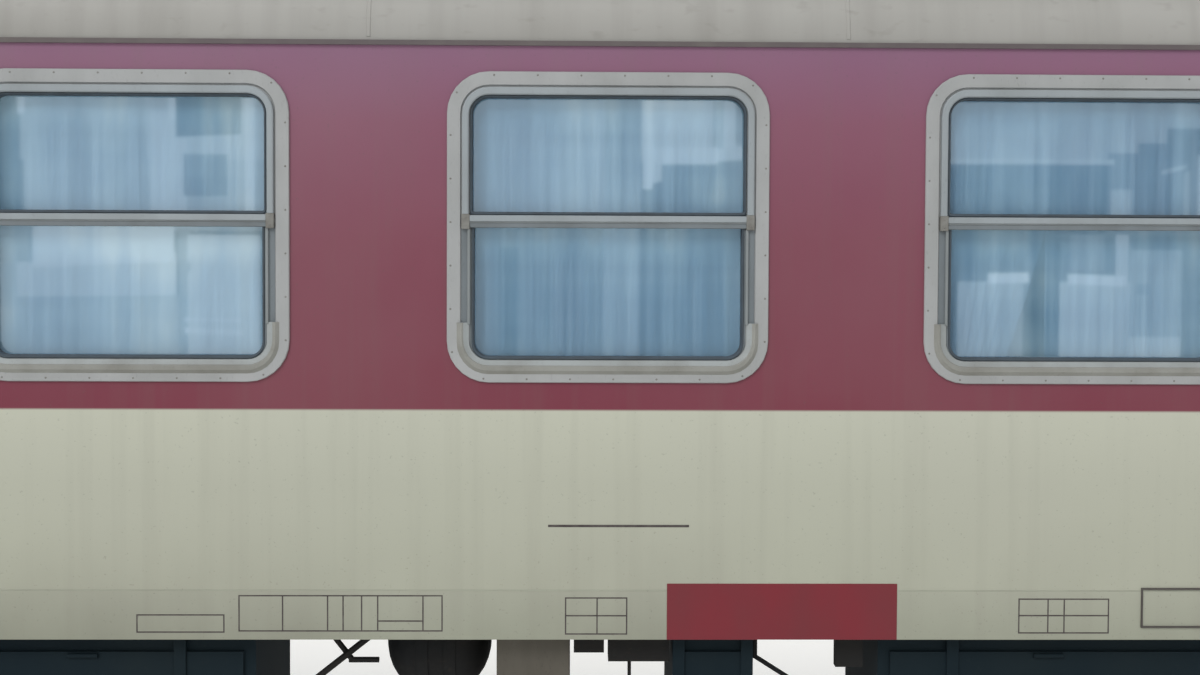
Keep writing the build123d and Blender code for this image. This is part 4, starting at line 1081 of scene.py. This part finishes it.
# %% Ruled boxes
ink = Finish("ink", (56, 46, 48), 0.6).worn((104, 100, 94), 0.5, 40)
field_red = Finish("field_red", (116, 19, 35), 0.5).worn((98, 36, 42), 0.5, 7, DRAWN_OUT)
COLUMNS = (-1.068, -0.920, -0.869, -0.808, -0.755, -0.606)
BOXES = [
    # x from, x to, z from, z to, upright lines, level lines as (z, x from, x to)
    (-1.546, -1.261, 1.103, 1.160, (), ()),
    (-1.211, -0.543, 1.107, 1.224, COLUMNS, ((1.140, -0.755, -0.606),)),
    (-0.135, 0.067, 1.097, 1.217, (-0.031,), ((1.158, -0.135, 0.067),)),
    (1.371, 1.670, 1.101, 1.214, (1.468, 1.522), ((1.159, 1.371, 1.670),)),
]
LINE = 0.0042
RED_FIELD = (0.200, 0.964, 1.0785, 1.265)
RULE = (-0.194, 0.272, 1.4525, 1.4605)


def on_side(shell, x0, x1, z0, z1, thick=0.0005, finish=0, ease=0.0):
    """A slip or strip on the photographed side, as thick as that. Its back is sunk a little in the wall."""
    shell.block((x0, x1), (-SIDE + 0.001, -SIDE - thick), (z0, z1), finish, ease)


marks = Shell()
half = LINE / 2
for x0, x1, z0, z1, uprights, levels in BOXES:
    for z in (z0, z1):
        on_side(marks, x0 - half, x1 + half, z - half, z + half)
    for x in (x0, x1, *uprights):
        on_side(marks, x - half, x + half, z0, z1, 0.0006)
    for z, a, b in levels:
        on_side(marks, a, b, z - half, z + half, 0.0007)
on_side(marks, *RULE)
on_side(marks, *RED_FIELD, 0.0014, 1)
both = marks.copies(AS_IT_IS, TURNED_ROUND)
piece("painted_panels", both, [ink, field_red])
print("boxes:", len(BOXES), "on each side")

# %% [markdown]
# Beside the boxes hangs a small metal holder for route cards, a folded frame with no card in it. A weld
# seam runs along the whole side just above the boxes, where the wall sheet laps over the sill.

# %% Card holder and sill seam
x0, x1, z0, z1 = 1.778, 2.030, 1.119, 1.252
EDGE = 0.0055
holder = Shell()
on_side(holder, x0, x0 + EDGE, z0, z1, 0.0060, ease=0.001)
on_side(holder, x1 - EDGE, x1, z0, z1, 0.0060, ease=0.001)
on_side(holder, x0, x1, z0, z0 + EDGE, 0.0062, ease=0.001)
on_side(holder, x0, x1, z1 - EDGE, z1, 0.0058, ease=0.001)
holder_metal = Finish("holder_metal", (76, 71, 68), 0.5).worn((52, 48, 46), 0.5, 30)
piece("card_holders", holder.copies(AS_IT_IS, TURNED_ROUND), [holder_metal])
seam = Shell()
on_side(seam, -10.90, 10.90, SEAM - 0.0018, SEAM + 0.0018, 0.0011, ease=0.0005)
seam_paint = Finish("seam_paint", (160, 163, 148), 0.5).worn((128, 129, 116), 0.5, 5)
piece("sill_seams", seam.copies(AS_IT_IS, TURNED_ROUND), [seam_paint])
print("holders", round(x1 - x0, 3), "m wide")

# %% [markdown]
# ## Folding doors
# Each doorway is shut by two narrow leaves that fold together. A leaf is a painted frame round a tall window
# with a rubber bead, a kick plate at the foot and a small handle. It could be a plate with a boolean hole,
# but a skin from the outer rectangle to the window's rounded one gives clean faces and a true edge. The
# leaves ride on their own bodies, so they open with the model.

# %% Framed plate
GLASS_BEAD = [(0.012, -0.001), (0.011, 0.0018), (0.001, 0.0018), (-0.006, 0.0004), (-0.006, -0.006)]


def framed_plate(x, z, glass, face, depth):
    """A plate in X and Z that faces the side at -Y, with a rounded window, its pane and a bead on both faces.
    glass is the window's width, height, corner radius and middle height."""
    (x0, x1), (z0, z1) = x, z
    width, height, radius, middle = glass
    centre = (x0 + x1) / 2

    def window(spread):
        """The window's outline, grown by spread."""
        sides = (centre - width / 2 - spread, centre + width / 2 + spread)
        foot_and_top = (middle - height / 2 - spread, middle + height / 2 + spread)
        return rectangle_run(*sides, *foot_and_top, radius + spread, radius + spread, 6)

    outer, hole = rectangle_run(x0, x1, z0, z1, 0.004, 0.004, 6), window(0)
    rounds = ((outer, face), (hole, face), (hole, face - depth), (outer, face - depth))
    shell = Shell()
    shell.skin([[(a, -y, c) for a, c in run] for run, y in rounds], 0, closed=True)
    pane(shell, hole, depth / 2 - 0.004 - face, depth / 2 + 0.004 - face, (4, 1, 1))
    for near, way in ((face, 1), (face - depth, -1)):
        bead = []
        for spread, proud in GLASS_BEAD:
            bead.append([(a, -(near + way * proud), c) for a, c in window(spread)])
        shell.skin(bead, 2, closed=True)
    return shell


print("framed plates take a width, a height and a window")

# %% Door leaves
JAMB, LEAF_GAP, LEAF_DEPTH = 11.74, 0.006, 0.038
LEAF_FACE = SIDE - 0.002
LEAF_FOOT, LEAF_TOP = 1.090, 2.980
LEAF_WIDTHS = {"a": 0.398, "b": 0.396}
LEAF_GLASS = (0.230, 0.800, 0.055, 2.328)
HANDLE_ROSE = [(0.021, 0), (0.021, 0.003), (0.012, 0.006), (0.012, 0.012)]
leaves = {}
right_edge = JAMB - LEAF_GAP
for letter, width in LEAF_WIDTHS.items():
    x0, x1 = right_edge - width, right_edge
    leaf = framed_plate((x0, x1), (LEAF_FOOT, LEAF_TOP), LEAF_GLASS, LEAF_FACE, LEAF_DEPTH)
    kick_plate = (-LEAF_FACE + 0.001, -LEAF_FACE - 0.0015)
    leaf.block((x0 + 0.02, x1 - 0.02), kick_plate, (LEAF_FOOT + 0.03, LEAF_FOOT + 0.23), 3)
    if letter == "b":
        x = x0 + 0.055
        leaf.turned(HANDLE_ROSE, (x, -LEAF_FACE + 0.001, 2.02), (0, -1, 0), 20, 3)
        grip = [(x, -LEAF_FACE - 0.010, 2.02), (x, -LEAF_FACE - 0.012, 1.93)]
        leaf.tube(rounded(grip, 0.004), 0.0075, 10, 3)
    leaves[letter] = leaf
    right_edge -= width + LEAF_GAP
door_finishes = [side_paint, haze, rubber, pale_metal, shine]
for end, e in ENDS.items():
    for side, s in SIDES.items():
        for letter, leaf in leaves.items():
            name = f"door_{end}_{side}_{letter}"
            here = leaf.copies(Matrix.Diagonal((e, -s, 1, 1)))
            piece(f"{name}_leaf", here, door_finishes, [name], name)
print("eight door leaves")

# %% [markdown]
# The gangway at each end is closed by a sliding door. It is the same kind of framed plate, turned to face
# along the coach.

# %% End doors
end_door = framed_plate((-0.400, 0.400), (1.288, 3.168), (0.420, 0.640, 0.050, 2.628), 12.022, 0.035)
end_door.block((-0.36, 0.36), (-12.021, -12.0235), (1.31, 1.56), 3, 0.001)
end_door.block((0.325, 0.365), (-12.021, -12.0245), (2.02, 2.20), 3, 0.001)
end_door_finishes = [door_paint, haze, rubber, pale_metal, shine]
for end, e in ENDS.items():
    here = end_door.copies(Matrix.Rotation(e * math.pi / 2, 4, "Z"))
    name = f"end_door_{end}"
    piece(f"{name}_leaf", here, end_door_finishes, [name], name)
print("two end doors")

# %% [markdown]
# ## Grab rails, gangways and end fittings
# Round bars and rubber tubes are skins over circles that follow a bent line. Each corner of the line is
# eased first, because a pipe is bent round a former and never mitred.

# %% Grab rails
DOOR_X, RAIL_APART = 11.33, 0.505
FOOT_AND_TOP = (1.218, 2.108)
RAIL_OUT = SIDE + 0.052
RAIL_ROSE = [(0.030, 0), (0.030, 0.004), (0.024, 0.007), (0.0145, 0.010)]
rails = Shell()
for e, s in CORNERS:
    for x in (e * DOOR_X - RAIL_APART, e * DOOR_X + RAIL_APART):
        foot, top = FOOT_AND_TOP
        path = [(x, s * SIDE, foot), (x, s * RAIL_OUT, foot), (x, s * RAIL_OUT, top), (x, s * SIDE, top)]
        rails.tube(rounded(path, 0.045, 8), 0.0135, 16)
        for z in FOOT_AND_TOP:
            rails.turned(RAIL_ROSE, (x, s * (SIDE - 0.001), z), (0, s, 0), 20)
piece("grab_rails", rails, [pale_metal], ["handrails"])
print("eight grab rails")

# %% [markdown]
# The rubber tube round the gangway is a hollow bead as thick as a leg. It is dull, chalky on its crown where
# it rubs on the next coach, and held by clamps on a backing frame.

# %% Gangway tubes
TUBE_Y, TUBE_FOOT, TUBE_TOP = 0.56, 1.248, 3.318
TUBE, CLAMP = 0.0835, 0.0848
tubes = Shell()
for e in ENDS.values():
    x = e * (BODY_END + 0.097)
    back = (e * BODY_END, e * (BODY_END + 0.030))
    path = [(x, -TUBE_Y, TUBE_FOOT), (x, -TUBE_Y, TUBE_TOP), (x, TUBE_Y, TUBE_TOP), (x, TUBE_Y, TUBE_FOOT)]
    tubes.tube(rounded(path, 0.26, 12), TUBE, 28, 0)
    for s in (-1, 1):
        tubes.block(back, (s * 0.50, s * 0.62), (1.218, 3.228), 1, 0.004)
        for z in (1.27, 1.62, 1.97, 2.32, 2.67, 2.98):
            tubes.tube([(x, s * TUBE_Y, z), (x, s * TUBE_Y, z + 0.03)], CLAMP, 28, 1)
    tubes.block(back, (-0.40, 0.40), (3.258, 3.378), 1, 0.004)
    for y in (-0.2, 0.2):
        tubes.tube([(x, y - 0.015, TUBE_TOP), (x, y + 0.015, TUBE_TOP)], CLAMP, 28, 1)
piece("gangway_tubes", tubes, [gangway_rubber, under_paint], ["gangway_rubbers"])
print("two gangway tubes")

# %% [markdown]
# Tail lamps are a drum with a domed red glass, and the jumper sockets are cast boxes under a hinged lid.

# %% Tail lamps and sockets
red_glass = Finish("red_glass", (140, 20, 22), 0.12, IOR=1.5)
mottled = red_glass.span(red_glass.noise(60, 1), 0.3, 0.7)
red_glass.set("Base Color", red_glass.mix(mottled, (150, 18, 20), (104, 12, 16)))
LAMP_DRUM = [(0.082, 0), (0.082, 0.038), (0.080, 0.045), (0.070, 0.045), (0.070, 0.050)]
LAMP_GLASS = [(0.066, 0.040), (0.067, 0.050), (0.064, 0.055), (0.050, 0.059), (0.028, 0.0615), (0.001, 0.062)]
LAMP_Y, LAMP_Z = 1.09, 1.588
HINGE_IN, HINGE_OUT, HINGE_Z = 0.888, 1.032, 2.098
lamps = Shell()
for e, s in CORNERS:
    foot = (e * BODY_END, s * LAMP_Y, LAMP_Z)
    lamps.turned(LAMP_DRUM, foot, (e, 0, 0), 40, 0)
    lamps.turned(LAMP_GLASS, foot, (e, 0, 0), 40, 1)
    socket = (e * BODY_END, e * (BODY_END + 0.070))
    lamps.block(socket, (s * 0.900, s * 1.020), (1.928, 2.088), 0, 0.006)
    lid = (e * (BODY_END + 0.010), e * (BODY_END + 0.092))
    lamps.block(lid, (s * 0.892, s * 1.028), (2.003, 2.096), 0, 0.010)
    x = e * (BODY_END + 0.012)
    lamps.tube([(x, s * HINGE_IN, HINGE_Z), (x, s * HINGE_OUT, HINGE_Z)], 0.006, 12, 2)
piece("lamps_and_sockets", lamps, [door_paint, red_glass, steel], ["end_fittings"])
print("four lamps and four sockets")

# %% [markdown]
# The buffer is a sleeve on a square base and a plunger that ends in a slightly domed head, wiped bright by
# the next coach's buffer and greased round the plunger.

# %% Buffers
HEAD_FACE, BUFFER_Y, BUFFER_Z = 12.25, 0.875, 1.088
BUFFER_SIDES, FIRST_OF_HEAD = 56, 8
BUFFER = [
    # radius, distance back from the buffing face
    (0.108, 0.600),
    (0.108, 0.240),
    (0.116, 0.236),
    (0.116, 0.218),
    (0.088, 0.214),
    (0.086, 0.070),
    (0.120, 0.052),
    (0.200, 0.034),
    (0.224, 0.030),
    (0.225, 0.018),
    (0.218, 0.011),
    (0.150, 0.003),
    (0.070, 0.0005),
    (0.001, 0.0),
]
BOLT = [(0.016, 0), (0.016, 0.012), (0.012, 0.014)]
buffer_head = Finish("buffer_head", (104, 98, 90), 0.4, 0.6).worn((52, 46, 40), 0.7, 9)
buffers = Shell()
for e, s in CORNERS:
    first = len(buffers.faces) + FIRST_OF_HEAD * BUFFER_SIDES
    buffers.turned(BUFFER, (e * HEAD_FACE, s * BUFFER_Y, BUFFER_Z), (-e, 0, 0), BUFFER_SIDES)
    for n in range(first, len(buffers.faces)):
        buffers.finishes[n] = 1
    buffers.block((e * 11.63, e * 11.655), (s * 0.720, s * 1.030), (0.938, 1.206), 0, 0.006)
    for y in (0.745, 1.005):
        for z in (0.965, 1.180):
            buffers.turned(BOLT, (e * 11.654, s * y, z), (e, 0, 0), 6)
piece("side_buffers", buffers, [under_paint, buffer_head], ["buffers"])
print("four buffers")

# %% [markdown]
# ## Below the floor
# The air tanks are welded drums with domed ends, hung in two bands. A turned profile gives the dome and the
# weld bead in one go.

# %% Air tanks
TANKS = [
    # centre x, centre y, centre z, radius, half length, depth of the domed end, top of the straps
    (-0.583, -1.080, 0.988, 0.165, 0.185, 0.110, 1.207),
    (-2.700, -0.590, 0.818, 0.150, 0.700, 0.060, 1.087),
    (2.450, 0.600, 0.828, 0.180, 0.700, 0.072, 1.087),
    (4.700, -0.640, 0.828, 0.180, 0.600, 0.072, 1.087),
]
tanks = Shell()
for x, y, z, radius, half, depth, strap_top in TANKS:
    outline = []
    for t in (math.pi / 2 * n / 7 for n in range(8)):
        outline.append((radius * 0.985 * math.sin(t) + 0.0005, half - depth * (1 - math.cos(t)) - 0.002))
    for share, back in ((0.99, 0.004), (1, 0.009), (0.99, 0.014)):
        outline.append((radius * share, half - depth - back))
    profile = [(r, -along) for r, along in outline] + outline[::-1]
    tanks.turned(profile, (x, y, z), (1, 0, 0), 40)
    reach = min(0.55 * half, half - depth - 0.028)
    for at in (x - reach, x + reach):
        strap = (at - 0.022, at + 0.022), (y - 0.022, y + 0.022), (z + radius - 0.02, strap_top)
        tanks.block(*strap, ease=0.002)
        tanks.turned([(radius + 0.003, -0.02), (radius + 0.003, 0.02)], (at, y, z), (1, 0, 0), 40)
piece("air_reservoirs", tanks, [under_paint], ["air_tanks"])
print("tanks:", len(TANKS))

# %% [markdown]
# The cases hang on straps and open by a lid on the outside. Latches, hinges and, on the ones that hold
# machines, rows of louvres tell a battery box from an equipment case.

# %% Fittings of the cases
CASE_FACE, CASE_TOP = 1.342, 1.016
CASES = [
    # x from, x to, side, foot, louvres
    (-3.300, -1.175, -1, 0.568, False),
    (2.900, 4.700, 1, 0.568, False),
    (0.920, 3.050, -1, 0.638, True),
    (-4.700, -3.700, -1, 0.698, True),
    (-2.300, -0.900, 1, 0.618, True),
    (0.300, 1.700, 1, 0.718, False),
    (4.100, 5.400, -1, 0.718, True),
    (-5.600, -4.300, 1, 0.718, False),
]
LATCH_BOLT = [(0.010, 0), (0.010, 0.008), (0.006, 0.010)]
fittings = Shell()
for x0, x1, s, foot, louvred in CASES:
    back, face = s * (CASE_FACE - 0.001), s * (CASE_FACE + 0.010)
    for x in (x0 + (x1 - x0) * 0.27, x0 + (x1 - x0) * 0.73):
        fittings.block((x - 0.022, x + 0.022), (back, face), (foot + 0.02, foot + 0.09), 1, 0.003)
        fittings.turned(LATCH_BOLT, (x, s * (CASE_FACE + 0.009), foot + 0.055), (0, s, 0), 12, 1)
        y, z = s * (CASE_FACE + 0.004), CASE_TOP - 0.012
        fittings.tube([(x - 0.05, y, z), (x + 0.05, y, z)], 0.008, 12)
    if not louvred:
        continue
    middle = (x0 + x1) / 2
    for z in (foot + 0.13 + row * 0.036 for row in range(5)):
        for a, b in ((x0 + 0.33, middle - 0.06), (middle + 0.06, x1 - 0.33)):
            lip = ((back, z + 0.022), (s * (CASE_FACE + 0.011), z), (back, z + 0.002))
            fittings.skin([[(x, y, c) for y, c in lip] for x in (a, b)], caps=True)
piece("case_fittings", fittings, [case_paint, steel])
print("cases with fittings:", len(CASES))

# %% [markdown]
# ## Bogies
# Coil springs are what the eye looks for in a bogie. Each is a round bar wound into a helix whose last turns
# lie flat on the seats. A screw modifier could wind it, but the flat ends need a path of their own.

# %% Coil springs


def coil(shell, x, y, z0, z1, radius, wire, turns=4.5):
    """A coil spring between two seats, with closed end turns."""
    steps, path = 20, []
    low, high = z0 + wire, z1 - wire
    reach = radius - wire
    for n in range(round(steps * (turns + 1.5)) + 1):
        t = n / steps
        rise = min(max((t - 0.75) / turns, 0), 1)
        angle = 2 * math.pi * t
        path.append((x + reach * math.cos(angle), y + reach * math.sin(angle), low + (high - low) * rise))
    shell.tube(path, wire, 8)


PIVOT_X, AXLE_OFFSET, CAP_FACE = 8.6, 1.3, 1.1395
CAP_BOLT = [(0.012, 0), (0.012, 0.009), (0.009, 0.011)]
AXLE_CAP = [(0.062, 0), (0.060, 0.006), (0.020, 0.009)]
for end, e in ENDS.items():
    springs, bolts = Shell(), Shell()
    for s in SIDES.values():
        for axle_x in (e * PIVOT_X - AXLE_OFFSET, e * PIVOT_X + AXLE_OFFSET):
            for offset in (-0.225, 0.225):
                coil(springs, axle_x + offset, s * 1.0, 0.3245, 0.6555, 0.074, 0.0145)
            for t in (2 * math.pi * (n + 0.5) / 6 for n in range(6)):
                x, z = axle_x + 0.094 * math.cos(t), AXLE_HEIGHT + 0.094 * math.sin(t)
                bolts.turned(CAP_BOLT, (x, s * CAP_FACE, z), (0, s, 0), 6)
            bolts.turned(AXLE_CAP, (axle_x, s * CAP_FACE, AXLE_HEIGHT), (0, s, 0), 28)
        for offset in (-0.125, 0.125):
            coil(springs, e * PIVOT_X + offset, s * 1.19, 0.3285, 0.7075, 0.092, 0.0185)
    body = f"bogie_{end}"
    piece(f"coil_springs_{end}", springs, [under_paint], [f"bogie_springs_{end}"], body)
    piece(f"axle_box_bolts_{end}", bolts, [rust], body=body)
print("24 coil springs")

# %% [markdown]
# A rolled wheel has hardly a straight line in its section: the web is dished, the flange has a round tip and
# a hollow root, and the tread is coned. Each is turned here from that section and rolls with its wheelset.

# %% Wheels
WHEEL = [
    # radius, distance from the middle of the track
    (0.0932, 0.668),
    (0.122, 0.668),
    (0.132, 0.673),
    (0.146, 0.690),
    (0.180, 0.706),
    (0.250, 0.718),
    (0.330, 0.721),
    (0.380, 0.717),
    (0.396, 0.704),
    (0.403, 0.688),
    (0.409, 0.681),
    (0.416, 0.680),
    (0.474, 0.680),
    (0.482, 0.683),
    (0.4868, 0.689),
    (0.4880, 0.695),
    (0.4862, 0.701),
    (0.478, 0.7075),
    (0.468, 0.7115),
    (0.4625, 0.717),
    (0.4602, 0.726),
    (0.4592, 0.762),
    (0.4572, 0.806),
    (0.4530, 0.8142),
    (0.408, 0.8150),
    (0.400, 0.811),
    (0.394, 0.797),
    (0.388, 0.776),
    (0.374, 0.759),
    (0.330, 0.7515),
    (0.250, 0.752),
    (0.190, 0.764),
    (0.156, 0.784),
    (0.143, 0.806),
    (0.136, 0.829),
    (0.128, 0.835),
    (0.0932, 0.835),
]
around = [2 * math.pi * n / 72 for n in range(72)]
for end, number, centre in WHEELSETS:
    pair = Shell()
    for s in SIDES.values():
        rings = []
        for r, along in WHEEL:
            ring = [(centre + r * math.cos(t), s * along, AXLE_HEIGHT + r * math.sin(t)) for t in around]
            rings.append(ring)
        pair.skin(rings, closed=True)
    label, body = f"{end}_{number}", f"wheelset_{end}_{number}"
    piece(f"rolling_wheels_{label}", pair, [wheel_steel[centre]], [f"wheels_{label}"], body)
print("eight turned wheels")

# %% [markdown]
# ## Roof
# The roof sheets meet in welds across the coach, over each compartment wall, and a ventilator stands over
# each compartment. The welds follow the roof's own cross-section: two tight arcs at the shoulders and one
# wide arc on top, worked out here as they are in the CAD.

# %% Roof welds


def roof_line(proud, steps=7):
    """Points (y, z) over the roof from gutter to gutter, proud of the skin by so much."""
    shoulder = 0.47
    reach, rise = SIDE - shoulder, CROWN - EAVE - shoulder
    extra = (reach**2 + rise**2) / (2 * rise)
    corner = math.acos(reach / extra)
    crown = shoulder + extra
    points = []
    for n in range(steps + 1):
        t = 0.06 + (corner - 0.06) * n / steps
        points.append((reach + (shoulder + proud) * math.cos(t), EAVE + (shoulder + proud) * math.sin(t)))
    for n in range(1, 2 * steps + 1):
        t = corner + (math.pi / 2 - corner) * n / (2 * steps)
        points.append(((crown + proud) * math.cos(t), CROWN - crown + (crown + proud) * math.sin(t)))
    return points + [(-y, z) for y, z in reversed(points[:-1])]


welds = Shell()
WELD_X = [COMPARTMENT * (n + 0.5) for n in range(-7, 7)]
WELD = [(-0.009, -0.002), (-0.005, 0.0022), (0.005, 0.0022), (0.009, -0.002)]
for x in WELD_X:
    rings = [[(x + across, y, z) for y, z in roof_line(proud)] for across, proud in WELD]
    welds.skin(rings, loop=False, closed=True, ends=True)
piece("roof_welds", welds, [roof_paint])
print("welds across the roof:", len(WELD_X))

# %% [markdown]
# A ventilator is a spun cap over a narrow neck. Rain runs off its rim, so the rim turns down.

# %% Ventilators
VENT = [
    # radius, height over the crown
    (0.156, -0.014),
    (0.152, 0.004),
    (0.126, 0.020),
    (0.113, 0.046),
    (0.120, 0.060),
    (0.176, 0.080),
    (0.190, 0.090),
    (0.191, 0.101),
    (0.186, 0.116),
    (0.170, 0.130),
    (0.110, 0.1375),
    (0.001, 0.1395),
]
vents = Shell()
for x in window_places["left"]:
    vents.turned(VENT, (x, 0, CROWN), (0, 0, 1), 48)
piece("ventilators", vents, [roof_paint], ["roof_vents"])
print("eleven ventilators")
# %% [markdown]
# ## The ground
# A plain pale floor, so wide that its edge is never seen. It keeps the coach's shadow, and it is what shows
# through the gaps below the coach.

# %% Ground
ground_paint = Finish("ground", (247, 247, 244), 0.8).worn((236, 236, 232), 0.2, 40)
camera_ray = ground_paint.node("ShaderNodeLightPath", {}).outputs["Is Camera Ray"]
ground_paint.set("Emission Color", (1, 1, 1, 1))
ground_paint.set("Emission Strength", ground_paint.math("MULTIPLY", camera_ray, 0.22))
ground_mesh = bpy.data.meshes.new("ground")
reach = 220
corners = [(-reach, -reach, 0), (reach, -reach, 0), (reach, reach, 0), (-reach, reach, 0)]
ground_mesh.from_pydata(corners, [], [(0, 1, 2, 3)])
ground_mesh.materials.append(ground_paint.material)
ground = bpy.data.objects.new("ground", ground_mesh)
bpy.context.collection.objects.link(ground)
print("ground", 2 * reach, "m wide")
